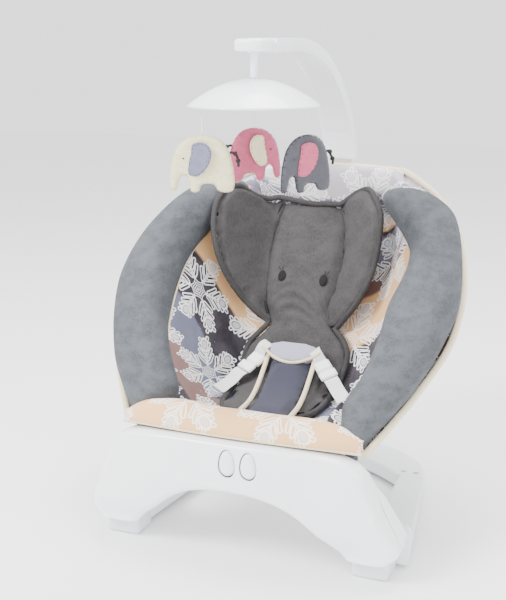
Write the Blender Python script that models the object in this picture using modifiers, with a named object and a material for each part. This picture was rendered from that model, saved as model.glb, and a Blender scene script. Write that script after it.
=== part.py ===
"""Infant bouncer seat with a sprung bucket seat, a plastic base and a lift-off mobile.

Metres, +Z up. The origin is on the floor under the middle of the object's box.
The seat faces -Y, +X is the right-hand side seen from the front.
"""
import math

import bmesh
import bpy
from mathutils import Matrix, Vector

# ---------------------------------------------------------------- driving dimensions
FIT_GAP = 0.0003           # gap between touching solids
SEAM_GAP = 0.0022          # line between the arch's two covers
WALL = 0.0025              # moulded wall thickness

# Front arch of the base
ARCH_FRONT_Y = -0.2555     # most forward point of the moulded face
ARCH_COVER_DEPTH = 0.035   # front cover, front face to seam
ARCH_BACK_Y = -0.190       # flat rear face of the arch
BACK_DROP = 0.034          # the rear cover's top slopes down to the rear by this much
ARCH_BOW = 0.030           # how far the legs sit behind the middle of the face
ARCH_STATIONS = 12         # sections on each half of the arch
# outer and inner edge of the arch, from the foot to the middle (x, z)
ARCH_OUTER = ((0.217, 0.030), (0.231, 0.046), (0.222, 0.073), (0.207, 0.105),
              (0.195, 0.138), (0.181, 0.162), (0.145, 0.179), (0.075, 0.184), (0.0, 0.184))
ARCH_INNER = ((0.157, 0.030), (0.149, 0.038), (0.137, 0.049), (0.121, 0.062),
              (0.103, 0.077), (0.084, 0.090), (0.060, 0.101), (0.030, 0.108), (0.0, 0.110))

# Base plates
FOOT_X = (0.163, 0.214)
FOOT_Y = (-0.208, -0.162)
FOOT_HEIGHT = 0.0297
ARM_FRONT_Y = -0.1603
ARM_REAR_Y = 0.098
ARM_BOTTOM_Z = 0.006
ARM_TOP_Z = 0.030
BAR_REAR_Y = 0.247
REAR_FOOT_RADIUS = 0.017

# Seat rim plane: a slope that rises to the rear
RECLINE = math.radians(39.0)
RIM_FRONT = Vector((0.0, -0.201, 0.176))
RIM_LENGTH = 0.520
RIM_HALF_WIDTH = ((0.0, 0.183), (0.05, 0.210), (0.10, 0.235), (0.18, 0.262), (0.25, 0.267),
                  (0.30, 0.262), (0.37, 0.245), (0.425, 0.220), (0.47, 0.187), (0.50, 0.153),
                  (0.520, 0.124))
WELL_DEPTH = ((0.0, 0.004), (0.04, 0.022), (0.10, 0.078), (0.15, 0.112), (0.196, 0.127),
              (0.25, 0.116), (0.35, 0.086), (0.45, 0.048), (0.50, 0.026), (0.520, 0.012))
RIM_DROP = 0.014           # shell edge below the rim plane
SHELL_EDGE_INSET = 0.022   # shell edge inside the outer hem
SHELL_THICKNESS = 0.010
RIM_TUBE_RADIUS = 0.005
HEM_CLEARANCE = 0.0025     # bolster to hem tube
LIP_RADIUS = 0.015
BOLSTER_LIFT = 0.50        # bolster centre over the rim plane, per unit of its radius
BOLSTER_RADIUS = ((0.03, 0.012), (0.08, 0.028), (0.14, 0.038), (0.22, 0.040), (0.34, 0.038),
                  (0.42, 0.033), (0.47, 0.026), (0.495, 0.016))

# Bounce axis through the wire sockets
BOUNCE_Y = -0.180
BOUNCE_Z = 0.140
WIRE_RADIUS = 0.004
SOCKET_X = 0.145           # middle of the block that the wire turns in
WIRE_RISE_X = 0.163        # where the wire rises to the front of the hem

# Battery door in the rear face of the arch
DOOR_SIZE = (0.064, 0.0025, 0.042)
DOOR_CENTRE_X = -0.090
DOOR_BOTTOM_Z = 0.112

# Mobile
STEM_X_Y = (0.0, -0.157)
STEM_RADIUS = 0.0052
STEM_LENGTH = 0.033
DOME_RADIUS = 0.090
DOME_RIM_Z = 0.623
DOME_RISE = 0.036
HOOK_CIRCLE = 0.078
HOOK_HEIGHT = 0.0026
HOOK_RADIUS = 0.0025
HOOK_ANGLES = {"left": -37.4, "right": 82.6, "centre": 202.6}
TOY_YAW = {"left": 22.0, "right": 62.0, "centre": 52.0}
STRING_LENGTH = 0.032
STRING_RADIUS = 0.0007
ARM_WIDTH = 0.052
ARM_THICKNESS = 0.013
ARM_BASE = Vector((0.0, 0.23203, 0.500))
ARM_DIRECTION = Vector((0.0, -0.526, 0.850)).normalized()
HEAD_TOP_Z = 0.710
HEAD_HEIGHT = 0.016
HEAD_HALF_SIZE = (0.0235, 0.026)

PLASTIC_WHITE = (0.86, 0.89, 0.92)
PARTS = "bouncer_seat"


# ---------------------------------------------------------------- small helpers
def clear_scene():
    for item in list(bpy.data.objects):
        bpy.data.objects.remove(item, do_unlink=True)


def collection(name):
    found = bpy.data.collections.get(name) or bpy.data.collections.new(name)
    if found.name not in bpy.context.scene.collection.children:
        bpy.context.scene.collection.children.link(found)
    return found


def material(name, colour, roughness=0.5, metallic=0.0):
    mat = bpy.data.materials.new(name)
    mat.use_nodes = True
    shader = mat.node_tree.nodes["Principled BSDF"]
    shader.inputs["Base Color"].default_value = (*colour, 1.0)
    shader.inputs["Roughness"].default_value = roughness
    shader.inputs["Metallic"].default_value = metallic
    mat.diffuse_color = (*colour, 1.0)
    return mat


def add(name, data, look, parent=None):
    """Link one sub-part into the object's collection with its own material."""
    item = bpy.data.objects.new(name, data)
    collection(PARTS).objects.link(item)
    data.materials.clear()
    data.materials.append(material(name, *look))
    if parent:
        item.parent = parent
        item.matrix_parent_inverse = parent.matrix_world.inverted()
    return item


def pivot(name, location, rotation=(0.0, 0.0, 0.0)):
    """An empty on a joint's axis."""
    item = bpy.data.objects.new(name, None)
    item.empty_display_size = 0.03
    item.location = location
    item.rotation_euler = rotation
    collection(PARTS).objects.link(item)
    bpy.context.view_layer.update()
    return item


def smooth(table, value):
    """Cubic curve through a table of (input, output) pairs, with level-limited slopes."""
    if value <= table[0][0]:
        return table[0][1]
    if value >= table[-1][0]:
        return table[-1][1]
    index = max(i for i in range(len(table) - 1) if table[i][0] <= value)
    (x0, y0), (x1, y1) = table[index], table[index + 1]

    def slope(i):
        low, high = max(i - 1, 0), min(i + 1, len(table) - 1)
        return (table[high][1] - table[low][1]) / (table[high][0] - table[low][0])

    span = x1 - x0
    t = (value - x0) / span
    return ((2 * t**3 - 3 * t**2 + 1) * y0 + (t**3 - 2 * t**2 + t) * span * slope(index)
            + (-2 * t**3 + 3 * t**2) * y1 + (t**3 - t**2) * span * slope(index + 1))


def along(points, fraction):
    """Point on a smooth curve through evenly numbered points."""
    at = fraction * (len(points) - 1)
    return Vector([smooth([(i, p[axis]) for i, p in enumerate(points)], at)
                   for axis in range(len(points[0]))])


def ease(value):
    value = min(max(value, 0.0), 1.0)
    return value * value * (3.0 - 2.0 * value)


def finish(bm, name):
    bmesh.ops.recalc_face_normals(bm, faces=bm.faces)
    mesh = bpy.data.meshes.new(name)
    bm.to_mesh(mesh)
    bm.free()
    mesh.shade_smooth()
    mesh.set_sharp_from_angle(angle=math.radians(40))
    return mesh


def loft(name, rings, capped=True):
    """Skin between rings that have the same number of points."""
    bm = bmesh.new()
    rows = [[bm.verts.new(point) for point in ring] for ring in rings]
    count = len(rows[0])
    for low, high in zip(rows, rows[1:]):
        for i in range(count):
            j = (i + 1) % count
            bm.faces.new((low[i], low[j], high[j], high[i]))
    if capped:
        bm.faces.new(rows[0])
        bm.faces.new(rows[-1])
    return finish(bm, name)


def sheet(name, rows, closing=()):
    """Open surface over a grid of points; closing names rows that also get an end face."""
    bm = bmesh.new()
    grid = [[bm.verts.new(point) for point in row] for row in rows]
    for low, high in zip(grid, grid[1:]):
        for i in range(len(low) - 1):
            bm.faces.new((low[i], low[i + 1], high[i + 1], high[i]))
    for index in closing:
        bm.faces.new(grid[index])
    return finish(bm, name)


def box(name, size, look, centre=(0, 0, 0), bevel=0.001, parent=None, rotation=None, segments=1):
    bm = bmesh.new()
    bmesh.ops.create_cube(bm, size=1.0)
    bmesh.ops.scale(bm, vec=size, verts=bm.verts)
    item = add(name, finish(bm, name), look)
    place(item, centre, rotation, parent)
    if bevel:
        round_edges(item, bevel, segments)
    return item


def disc(name, radius, height, look, centre=(0, 0, 0), axis="Z", bevel=0.0, parent=None,
         segments=28, top_radius=None):
    bm = bmesh.new()
    top = radius if top_radius is None else top_radius
    bmesh.ops.create_cone(bm, cap_ends=True, segments=segments, radius1=radius, radius2=top,
                          depth=height)
    if axis == "X":
        bmesh.ops.rotate(bm, verts=bm.verts, matrix=Matrix.Rotation(math.pi / 2, 3, "Y"))
    if axis == "Y":
        bmesh.ops.rotate(bm, verts=bm.verts, matrix=Matrix.Rotation(math.pi / 2, 3, "X"))
    item = add(name, finish(bm, name), look)
    place(item, centre, None, parent)
    if bevel:
        round_edges(item, bevel, 2)
    return item


def place(item, centre, rotation, parent):
    item.location = centre
    if rotation is not None:
        item.rotation_euler = rotation.to_euler() if isinstance(rotation, Matrix) else rotation
    if parent:
        bpy.context.view_layer.update()
        item.parent = parent
        item.matrix_parent_inverse = parent.matrix_world.inverted()


def round_edges(item, width, segments=2, angle=30):
    bevel = item.modifiers.new("Rounded edges", "BEVEL")
    bevel.width = width
    bevel.segments = segments
    bevel.limit_method = "ANGLE"
    bevel.angle_limit = math.radians(angle)
    return bevel


def thicken(item, thickness, offset=-1.0):
    solid = item.modifiers.new("Wall", "SOLIDIFY")
    solid.thickness = thickness
    solid.offset = offset
    solid.use_even_offset = True
    return solid


def tube(name, points, radius, look, radii=None, resolution=2, parent=None):
    """Tube along points, with filled ends."""
    curve = bpy.data.curves.new(name, "CURVE")
    curve.dimensions = "3D"
    curve.bevel_depth = radius
    curve.bevel_resolution = resolution
    curve.use_fill_caps = True
    spline = curve.splines.new("POLY")
    spline.points.add(len(points) - 1)
    for index, point in enumerate(points):
        spline.points[index].co = (*point, 1.0)
        spline.points[index].radius = 1.0 if radii is None else radii[index] / radius
    return add(name, curve, look, parent)


def plate(name, outline, bottom, top, look, bevel=0.002, parent=None, centre=(0, 0, 0),
          rotation=None):
    """Flat outline with a thickness, lying level unless it is rotated."""
    curve = bpy.data.curves.new(name, "CURVE")
    curve.dimensions = "2D"
    curve.fill_mode = "BOTH"
    curve.extrude = (top - bottom) / 2
    spline = curve.splines.new("POLY")
    spline.points.add(len(outline) - 1)
    for index, point in enumerate(outline):
        spline.points[index].co = (point[0], point[1], 0.0, 1.0)
    spline.use_cyclic_u = True
    item = add(name, curve, look)
    place(item, Vector(centre) + Vector((0, 0, (top + bottom) / 2)), rotation, parent)
    weld = item.modifiers.new("Weld caps", "WELD")
    weld.merge_threshold = 0.00001
    if bevel:
        round_edges(item, bevel, 1)
    return item


def cut(item, cutter):
    """Subtract a helper solid."""
    collection("cutters").objects.link(cutter)
    cutter.hide_render = True
    cutter.display_type = "WIRE"
    boolean = item.modifiers.new("Cut", "BOOLEAN")
    boolean.operation = "DIFFERENCE"
    boolean.solver = "EXACT"
    boolean.object = cutter


def cutter_box(name, size, centre, rotation=None):
    bm = bmesh.new()
    bmesh.ops.create_cube(bm, size=1.0)
    bmesh.ops.scale(bm, vec=size, verts=bm.verts)
    item = bpy.data.objects.new(name, finish(bm, name))
    item.location = centre
    if rotation is not None:
        item.rotation_euler = rotation.to_euler()
    return item


def cutter_disc(name, radius, height, centre, axis="X"):
    bm = bmesh.new()
    bmesh.ops.create_cone(bm, cap_ends=True, segments=28, radius1=radius, radius2=radius,
                          depth=height)
    if axis == "X":
        bmesh.ops.rotate(bm, verts=bm.verts, matrix=Matrix.Rotation(math.pi / 2, 3, "Y"))
    item = bpy.data.objects.new(name, finish(bm, name))
    item.location = centre
    return item


# ---------------------------------------------------------------- seat geometry
def seat_point(x, s, n):
    """Point at x, s along the rim slope and n above the rim plane."""
    return RIM_FRONT + Vector((x, s * math.cos(RECLINE) - n * math.sin(RECLINE),
                               s * math.sin(RECLINE) + n * math.cos(RECLINE)))


def rim_half_width(s):
    return smooth(RIM_HALF_WIDTH, s)


def hem_half_width(s):
    """Centre line of the tube in the fabric's hem."""
    return rim_half_width(s) - RIM_TUBE_RADIUS - 0.0005


def shell_half_width(s):
    return rim_half_width(s) - SHELL_EDGE_INSET


def shell_n(s, x):
    """Height of the seat's inner surface over the rim plane."""
    side = min(abs(x) / shell_half_width(s), 1.0)
    return -RIM_DROP - smooth(WELL_DEPTH, s) * (1.0 - side ** 2.6)


def on_seat(x, s, lift):
    return seat_point(x, s, shell_n(s, x) + lift)


def seat_frame(s):
    """Rotation whose X, Y and Z are across, up the seat's middle and out of its surface."""
    step = 0.01
    up = (on_seat(0, s + step, 0) - on_seat(0, s - step, 0)).normalized()
    across = Vector((1.0, 0.0, 0.0))
    out = across.cross(up)
    return Matrix((across, up, out)).transposed()


def pad(name, rows, look, parent, columns=8):
    """Padded panel on the seat. Each row is (s, centre x, half width, lift, thickness)."""
    rings = []
    for s, centre, half, lift, thickness in rows:
        under, over = [], []
        for i in range(columns + 1):
            v = -1.0 + 2.0 * i / columns
            x = centre + v * half
            crown = thickness * (1.0 - 0.75 * v ** 4)
            raise_edge = lift(x) if callable(lift) else lift
            under.append(on_seat(x, s, raise_edge))
            over.append(on_seat(x, s, raise_edge + crown))
        rings.append(under + over[::-1])
    return add(name, loft(name, rings), look, parent)


# ---------------------------------------------------------------- base
def arch_bow(x, z):
    """How far the arch's face stands behind its middle."""
    low = 1.0 - ease((z - 0.030) / 0.060)
    return ARCH_BOW * (abs(x) / 0.22) ** 2.5 + 0.010 * low


def arch_stations():
    """(outer x, outer z, inner x, inner z) from the left foot to the right foot."""
    half = [(*along(ARCH_OUTER, i / ARCH_STATIONS), *along(ARCH_INNER, i / ARCH_STATIONS))
            for i in range(ARCH_STATIONS + 1)]
    mirrored = [(-a, b, -c, d) for a, b, c, d in half]
    return mirrored + half[-2::-1]


def arch_section(outer_x, outer_z, inner_x, inner_z, face, seam, rounding, bulge, drop):
    """Open section of one cover: outer seam edge, rounded face, inner seam edge.

    drop lowers the outer edge from the seam to the face.
    """
    outer, inner = Vector((outer_x, outer_z)), Vector((inner_x, inner_z))
    inward = (inner - outer).normalized()
    width = (inner - outer).length
    toward = 1.0 if seam > face else -1.0
    edge = face + toward * rounding
    points = [(0.0, seam + (edge - seam) * part / 3) for part in range(3)]
    for step in range(4):
        angle = math.pi / 2 * step / 3
        across = rounding * (1 - math.cos(angle))
        points.append((across, face + toward * rounding * (1 - math.sin(angle))))
    points += [(width * 0.5, face - toward * bulge)]
    points += [(width - across, y) for across, y in reversed(points[:7])]

    def lowered(across, y):
        share = ease((y - seam) / (face - seam)) * (1.0 - across / width)
        return outer + inward * across - Vector((0.0, drop * share))

    flat = [lowered(across, y) for across, y in points]
    return [Vector((p.x, y, p.y)) for p, (across, y) in zip(flat, points)]


def front_face_y(x, z):
    return ARCH_FRONT_Y + arch_bow(x, z)


def seam_y(x, z):
    return ARCH_FRONT_Y + ARCH_COVER_DEPTH + 0.55 * arch_bow(x, z)


def back_face_y(z):
    return ARCH_BACK_Y + 0.028 * (1.0 - ease((z - 0.040) / 0.070))


def arch_cover(name, back):
    rows = []
    for outer_x, outer_z, inner_x, inner_z in arch_stations():
        middle_x, middle_z = (outer_x + inner_x) / 2, (outer_z + inner_z) / 2
        seam = seam_y(middle_x, middle_z) + (SEAM_GAP if back else 0.0)
        face = back_face_y(middle_z) if back else front_face_y(middle_x, middle_z)
        rounding, bulge = (0.006, 0.0) if back else (0.011, 0.0015)
        drop = BACK_DROP * ease((outer_z - 0.120) / 0.040) if back else 0.0
        rows.append(arch_section(outer_x, outer_z, inner_x, inner_z, face, seam, rounding, bulge, drop))
    item = add(name, sheet(name, rows, closing=(0, -1)), (PLASTIC_WHITE, 0.32))
    thicken(item, WALL)
    return item


def foot_outline(scale=1.0):
    """Outline of a foot-shaped button: a narrow leg over a wide oval sole."""
    points = []
    for step in range(28):
        angle = 2 * math.pi * step / 28
        widen = 1.0 + 0.16 * ease((0.35 - math.sin(angle)) / 1.2)
        points.append((0.0112 * math.cos(angle) * widen * scale, 0.0185 * math.sin(angle) * scale))
    return points


BUTTON_X = {"left": 0.001, "right": 0.032}
BUTTON_Z = 0.155
BUTTON_FRONT_Y = -0.260
UPRIGHT = (math.radians(90), 0.0, 0.0)


def button_hole(side):
    bm = bmesh.new()
    outline = [bm.verts.new((x, y, -0.02)) for x, y in foot_outline(1.06)]
    face = bm.faces.new(outline)
    moved = bmesh.ops.extrude_face_region(bm, geom=[face])["geom"]
    bmesh.ops.translate(bm, vec=(0, 0, 0.04), verts=[v for v in moved if isinstance(v, bmesh.types.BMVert)])
    item = bpy.data.objects.new("hole_" + side, finish(bm, "hole_" + side))
    item.rotation_euler = UPRIGHT
    item.location = (BUTTON_X[side], ARCH_FRONT_Y, BUTTON_Z)
    return item


def make_front_cover():
    cover = arch_cover("front_cover", back=False)
    for side in BUTTON_X:
        cut(cover, button_hole(side))


def make_back_cover():
    cover = arch_cover("back_cover", back=True)
    width, depth, height = DOOR_SIZE
    cut(cover, cutter_box("door_hole", (width + 0.002, 0.02, height + 0.002),
                          (DOOR_CENTRE_X, ARCH_BACK_Y, DOOR_BOTTOM_Z + height / 2)))


def make_buttons():
    for side, x in BUTTON_X.items():
        guide = pivot(side + "_button_guide", (x, BUTTON_FRONT_Y, BUTTON_Z))
        depth = 0.0225
        plate(side + "_button", foot_outline(), -depth / 2, depth / 2, ((0.84, 0.87, 0.90), 0.28),
              bevel=0.0035, centre=(x, BUTTON_FRONT_Y + depth / 2, BUTTON_Z),
              rotation=UPRIGHT, parent=guide)


def make_electronics():
    tray_y = -0.206
    tray_z = DOOR_BOTTOM_Z + DOOR_SIZE[2] / 2
    tray = box("battery_box", (0.062, 0.022, 0.037), ((0.75, 0.77, 0.80), 0.5),
               (DOOR_CENTRE_X, tray_y, tray_z), bevel=0)
    cut(tray, cutter_box("battery_space", (0.058, 0.022, 0.033),
                         (DOOR_CENTRE_X, tray_y + 0.002, tray_z)))
    for index, lift in enumerate((-0.0078, 0.0078)):
        disc("cell_%d" % (index + 1), 0.00725, 0.0505, ((0.35, 0.37, 0.40), 0.3, 0.8),
             (DOOR_CENTRE_X, tray_y + 0.0005, tray_z + lift), axis="X", segments=20)
    box("circuit_board", (0.084, 0.0016, 0.036), ((0.05, 0.28, 0.14), 0.5),
        (0.008, -0.2335, 0.146), bevel=0)
    disc("speaker", 0.017, 0.008, ((0.08, 0.08, 0.09), 0.6), (0.078, -0.230, 0.147), axis="Y",
         segments=24)
    disc("vibration_motor", 0.0075, 0.024, ((0.55, 0.56, 0.58), 0.3, 0.9),
         (0.107, -0.212, 0.150), axis="X", segments=20)


def make_eccentric_weight():
    """Half-disc weight on the motor's axis."""
    axis = pivot("weight_axis", (0.1225, -0.212, 0.150))
    outline = [(0.0065 * math.cos(math.pi * i / 12), -0.0065 * math.sin(math.pi * i / 12))
               for i in range(13)]
    plate("eccentric_weight", outline, -0.0025, 0.0025, ((0.60, 0.55, 0.35), 0.35, 1.0), bevel=0,
          centre=(0.1225, -0.212, 0.150), rotation=(math.radians(90), 0.0, math.radians(90)),
          parent=axis)


def make_battery_door():
    hinge = pivot("battery_door_hinge", (DOOR_CENTRE_X, ARCH_BACK_Y, DOOR_BOTTOM_Z))
    width, depth, height = DOOR_SIZE
    box("battery_door", DOOR_SIZE, (PLASTIC_WHITE, 0.35),
        (DOOR_CENTRE_X, ARCH_BACK_Y - depth / 2, DOOR_BOTTOM_Z + height / 2), bevel=0.0005,
        parent=hinge)


def make_wire_socket(side, sign):
    """Block on the arch's rear face that the seat's wire turns in."""
    x = sign * SOCKET_X
    block = box("wire_socket_" + side, (0.016, 0.019, 0.022), (PLASTIC_WHITE, 0.35),
                (x, ARCH_BACK_Y + FIT_GAP + 0.0095, BOUNCE_Z), bevel=0.002)
    cut(block, cutter_disc("wire_bore_" + side, WIRE_RADIUS + 0.0004, 0.03, (x, BOUNCE_Y, BOUNCE_Z)))


def make_front_foot(side, sign):
    size = (FOOT_X[1] - FOOT_X[0], FOOT_Y[1] - FOOT_Y[0], FOOT_HEIGHT)
    box("front_foot_" + side, size, ((0.80, 0.83, 0.87), 0.5),
        (sign * sum(FOOT_X) / 2, sum(FOOT_Y) / 2, FOOT_HEIGHT / 2), bevel=0.005, segments=2)


def make_side_arm(side, sign):
    """Flat arm from the front leg to the rear bar, with a taller end behind the leg."""
    rings = []
    for step in range(9):
        fraction = step / 8
        y = ARM_FRONT_Y + (ARM_REAR_Y - ARM_FRONT_Y) * fraction
        distance = y - ARM_FRONT_Y
        outer = 0.231 - 0.168 * distance
        inner = 0.166 - 0.073 * distance
        top = ARM_TOP_Z + 0.034 * (1.0 - ease(distance / 0.075))
        edge = 0.004
        ring = [(inner, ARM_BOTTOM_Z), (outer - edge, ARM_BOTTOM_Z), (outer, ARM_BOTTOM_Z + edge),
                (outer, top - 2 * edge), (outer - edge, top - edge / 2), (outer - 2 * edge, top),
                (inner + edge, top), (inner, top - edge)]
        rings.append([Vector((sign * x, y, z)) for x, z in ring])
    add("side_arm_" + side, loft("side_arm_" + side, rings), (PLASTIC_WHITE, 0.38))


SCREW_PLACES = ((0.150, 0.112), (0.170, 0.115))
SCREW_RADIUS = 0.0038
BAR_OUTER = ((0.1875, ARM_REAR_Y + 0.0006), (0.182, 0.122), (0.165, 0.163), (0.131, 0.198),
             (0.086, 0.225), (0.045, 0.240), (0.0, BAR_REAR_Y))
BAR_INNER = ((0.147, ARM_REAR_Y + 0.0006), (0.141, 0.096 + 0.004), (0.118, 0.120), (0.085, 0.143),
             (0.045, 0.162), (0.0, 0.170))


def make_rear_bar():
    outer = [along(BAR_OUTER, i / 14) for i in range(15)]
    inner = [along(BAR_INNER, i / 12) for i in range(13)]
    right = [(p.x, p.y) for p in outer]
    left_outer = [(-p.x, p.y) for p in reversed(outer[:-1])]
    left_inner = [(-p.x, p.y) for p in inner]
    right_inner = [(p.x, p.y) for p in reversed(inner[:-1])]
    bar = plate("rear_bar", right + left_outer + left_inner + right_inner, ARM_BOTTOM_Z, ARM_TOP_Z,
                (PLASTIC_WHITE, 0.38), bevel=0.003)
    return as_mesh(bar)


def as_mesh(item):
    """Turn a curve piece into a mesh piece so that it can be cut."""
    bpy.context.view_layer.update()
    depsgraph = bpy.context.evaluated_depsgraph_get()
    mesh = bpy.data.meshes.new_from_object(item.evaluated_get(depsgraph))
    bm = bmesh.new()
    bm.from_mesh(mesh)
    bmesh.ops.remove_doubles(bm, verts=bm.verts, dist=0.00001)
    bm.to_mesh(mesh)
    bm.free()
    name, matrix = item.name, item.matrix_world.copy()
    bpy.data.objects.remove(item, do_unlink=True)
    fresh = bpy.data.objects.new(name, mesh)
    collection(PARTS).objects.link(fresh)
    fresh.matrix_world = matrix
    return fresh


def make_screws(bar):
    for side, sign in (("left", -1), ("right", 1)):
        for index, (x, y) in enumerate(SCREW_PLACES):
            name = "rear_screw_%s_%d" % (side, index + 1)
            centre = (sign * x, y, ARM_TOP_Z - 0.002)
            cut(bar, cutter_disc("screw_hole_%s_%d" % (side, index + 1), SCREW_RADIUS + 0.0006,
                                 0.008, (sign * x, y, ARM_TOP_Z), axis="Z"))
            disc(name, SCREW_RADIUS, 0.003, ((0.55, 0.57, 0.60), 0.3, 0.9),
                 (sign * x, y, ARM_TOP_Z - 0.0022), bevel=0.0004, segments=20)


def make_rear_foot(side, sign):
    disc("rear_foot_" + side, REAR_FOOT_RADIUS, ARM_BOTTOM_Z - FIT_GAP, ((0.30, 0.31, 0.33), 0.8),
         (sign * 0.155, 0.135, (ARM_BOTTOM_Z - FIT_GAP) / 2), bevel=0.001, segments=24)


# ---------------------------------------------------------------- seat
def make_seat_shell(bounce):
    rows = []
    for i in range(15):
        s = 0.014 + (RIM_LENGTH - 0.014) * i / 14
        half = shell_half_width(s)
        rows.append([on_seat(half * math.sin(math.pi / 2 * (-1 + 2 * j / 12)), s, 0.0)
                     for j in range(13)])
    item = add("seat_shell", sheet("seat_shell", rows), ((0.34, 0.36, 0.42), 0.9), bounce)
    outward = item.data.polygons[len(item.data.polygons) // 2].normal.z < 0
    thicken(item, SHELL_THICKNESS, 1.0 if outward else -1.0)


def rim_point(side, fraction):
    """Centre line of the hem tube from the middle of the front to the middle of the top."""
    corner = 0.030
    front = hem_half_width(0.0)
    stretch_front, stretch_side = 0.18, 0.88
    if fraction < stretch_front:
        x = 0.0005 + (front - corner) * fraction / stretch_front
        return seat_point(side * x, 0.0, 0.0)
    if fraction < stretch_side:
        part = (fraction - stretch_front) / (stretch_side - stretch_front)
        s = 0.004 + (RIM_LENGTH - 0.004) * part
        return seat_point(side * hem_half_width(s), s, 0.0)
    part = (fraction - stretch_side) / (1 - stretch_side)
    top = hem_half_width(RIM_LENGTH)
    bow = 0.0065 * math.sin(math.pi / 2 * part)
    return seat_point(side * (top * (1 - part) + 0.0005 * part), RIM_LENGTH + bow, 0.0)


def make_rim_tube(name, side, bounce):
    points = [rim_point(side, i / 26) for i in range(27)]
    tube(name, points, RIM_TUBE_RADIUS, ((0.55, 0.57, 0.60), 0.35, 0.8), resolution=1,
         parent=bounce)


def make_spring_wire(name, side, bounce):
    rise = side * WIRE_RISE_X
    route = [Vector((side * (SOCKET_X - 0.006), BOUNCE_Y, BOUNCE_Z)),
             Vector((side * (SOCKET_X + 0.010), BOUNCE_Y, BOUNCE_Z)),
             Vector((rise - side * 0.002, BOUNCE_Y, BOUNCE_Z + 0.002)),
             Vector((rise, BOUNCE_Y - 0.001, BOUNCE_Z + 0.012)),
             Vector((rise, BOUNCE_Y - 0.007, BOUNCE_Z + 0.020)),
             Vector((rise, BOUNCE_Y - 0.018, BOUNCE_Z + 0.0262))]
    tube(name, [along(route, i / 14) for i in range(15)], WIRE_RADIUS,
         ((0.55, 0.57, 0.60), 0.3, 0.9), resolution=2, parent=bounce)


def make_bolster(name, side, bounce):
    points, radii = [], []
    start, end = BOLSTER_RADIUS[0][0], BOLSTER_RADIUS[-1][0]
    for i in range(15):
        s = start + (end - start) * i / 14
        radius = smooth(BOLSTER_RADIUS, s)
        lift = BOLSTER_LIFT * radius
        clear = math.sqrt((radius + RIM_TUBE_RADIUS + HEM_CLEARANCE) ** 2 - lift ** 2)
        edge_angle = math.atan((hem_half_width(s + 0.005) - hem_half_width(s - 0.005)) / 0.01)
        points.append(seat_point(side * (hem_half_width(s) - clear / math.cos(edge_angle)), s, lift))
        radii.append(radius)
    tube(name, points, 0.040, ((0.62, 0.64, 0.68), 0.95), radii=radii, resolution=3, parent=bounce)


def make_top_bolster(bounce):
    points = [seat_point(x, 0.506 - 0.55 * x * x, 0.012) for x in
              [0.088 * (-1 + 2 * i / 12) for i in range(13)]]
    radii = [0.017 * (1 - 0.35 * abs(-1 + 2 * i / 12) ** 4) for i in range(13)]
    tube("top_bolster", points, 0.017, ((0.74, 0.74, 0.80), 0.9), radii=radii, parent=bounce)


def make_front_lip(bounce):
    points, radii = [], []
    for i in range(17):
        v = -1 + 2 * i / 16
        points.append(Vector((0.160 * v, -0.2115 + 0.012 * v ** 4, 0.1985)))
        radii.append(LIP_RADIUS * (1 - 0.45 * v ** 8))
    tube("front_lip", points, LIP_RADIUS, ((0.90, 0.80, 0.72), 0.9), radii=radii, resolution=3,
         parent=bounce)


# the insert sits left of the middle, more so at the head: its middle line, the half width of
# its body and the width of its ears, each up the slope; the left ear stands against the bolster
INSERT_CENTRE = ((0.060, -0.010), (0.200, -0.014), (0.262, -0.012), (0.298, -0.028),
                 (0.345, -0.031), (0.440, -0.033), (0.490, -0.036))
INSERT_HALF = ((0.066, 0.055), (0.10, 0.072), (0.16, 0.078), (0.20, 0.082), (0.232, 0.082),
               (0.255, 0.069), (0.274, 0.055), (0.300, 0.056), (0.35, 0.065), (0.41, 0.066),
               (0.446, 0.060), (0.466, 0.053))
EAR_WIDTH = {
    "left": ((0.278, 0.020), (0.290, 0.040), (0.308, 0.050), (0.34, 0.052), (0.38, 0.044),
             (0.42, 0.030), (0.445, 0.018), (0.462, 0.010)),
    "right": ((0.284, 0.022), (0.296, 0.046), (0.315, 0.058), (0.36, 0.061), (0.40, 0.061),
              (0.44, 0.060), (0.468, 0.050), (0.486, 0.022)),
}
EAR_LIFT = {"left": 1.25, "right": 0.60}
INSERT_THICKNESS = ((0.066, 0.009), (0.20, 0.011), (0.27, 0.018), (0.466, 0.018))


def insert_centre(s):
    return smooth(INSERT_CENTRE, s)


def make_insert(bounce):
    rows = [(s, insert_centre(s), smooth(INSERT_HALF, s), 0.006, smooth(INSERT_THICKNESS, s))
            for s in [0.066 + 0.400 * i / 20 for i in range(21)]]
    pad("insert_body", rows, ((0.66, 0.68, 0.72), 0.95), bounce)
    for name, side in (("left", -1), ("right", 1)):
        rows = []
        low, high = EAR_WIDTH[name][0][0], EAR_WIDTH[name][-1][0]
        for i in range(11):
            s = low + (high - low) * i / 10
            inner = max(smooth(INSERT_HALF, s) + 0.002, 0.058)
            width = smooth(EAR_WIDTH[name], s) / 2
            centre = insert_centre(s) + side * (inner + width)

            def lift(x, base=insert_centre(s) + side * inner, slope=EAR_LIFT[name]):
                return 0.006 + slope * abs(x - base)

            rows.append((s, centre, width, lift, 0.012))
        pad("insert_ear_" + name, rows, ((0.66, 0.68, 0.72), 0.95), bounce, columns=6)


HARNESS_LINE = ((0.046, 0.014), (0.110, 0.002), (0.192, -0.0095), (0.240, -0.0095))
CROTCH_HALF = 0.0385
CROTCH_START, CROTCH_END = 0.046, 0.228


def crotch_lift(s):
    return 0.017 + 0.017 * ease((s - 0.06) / 0.13)


def make_crotch_pad(bounce):
    rows = []
    for i in range(11):
        s = CROTCH_START + (CROTCH_END - CROTCH_START) * i / 10
        rows.append((s, smooth(HARNESS_LINE, s), CROTCH_HALF, crotch_lift(s), 0.013))
    pad("crotch_pad", rows, ((0.38, 0.44, 0.55), 0.9), bounce, columns=6)


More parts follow.
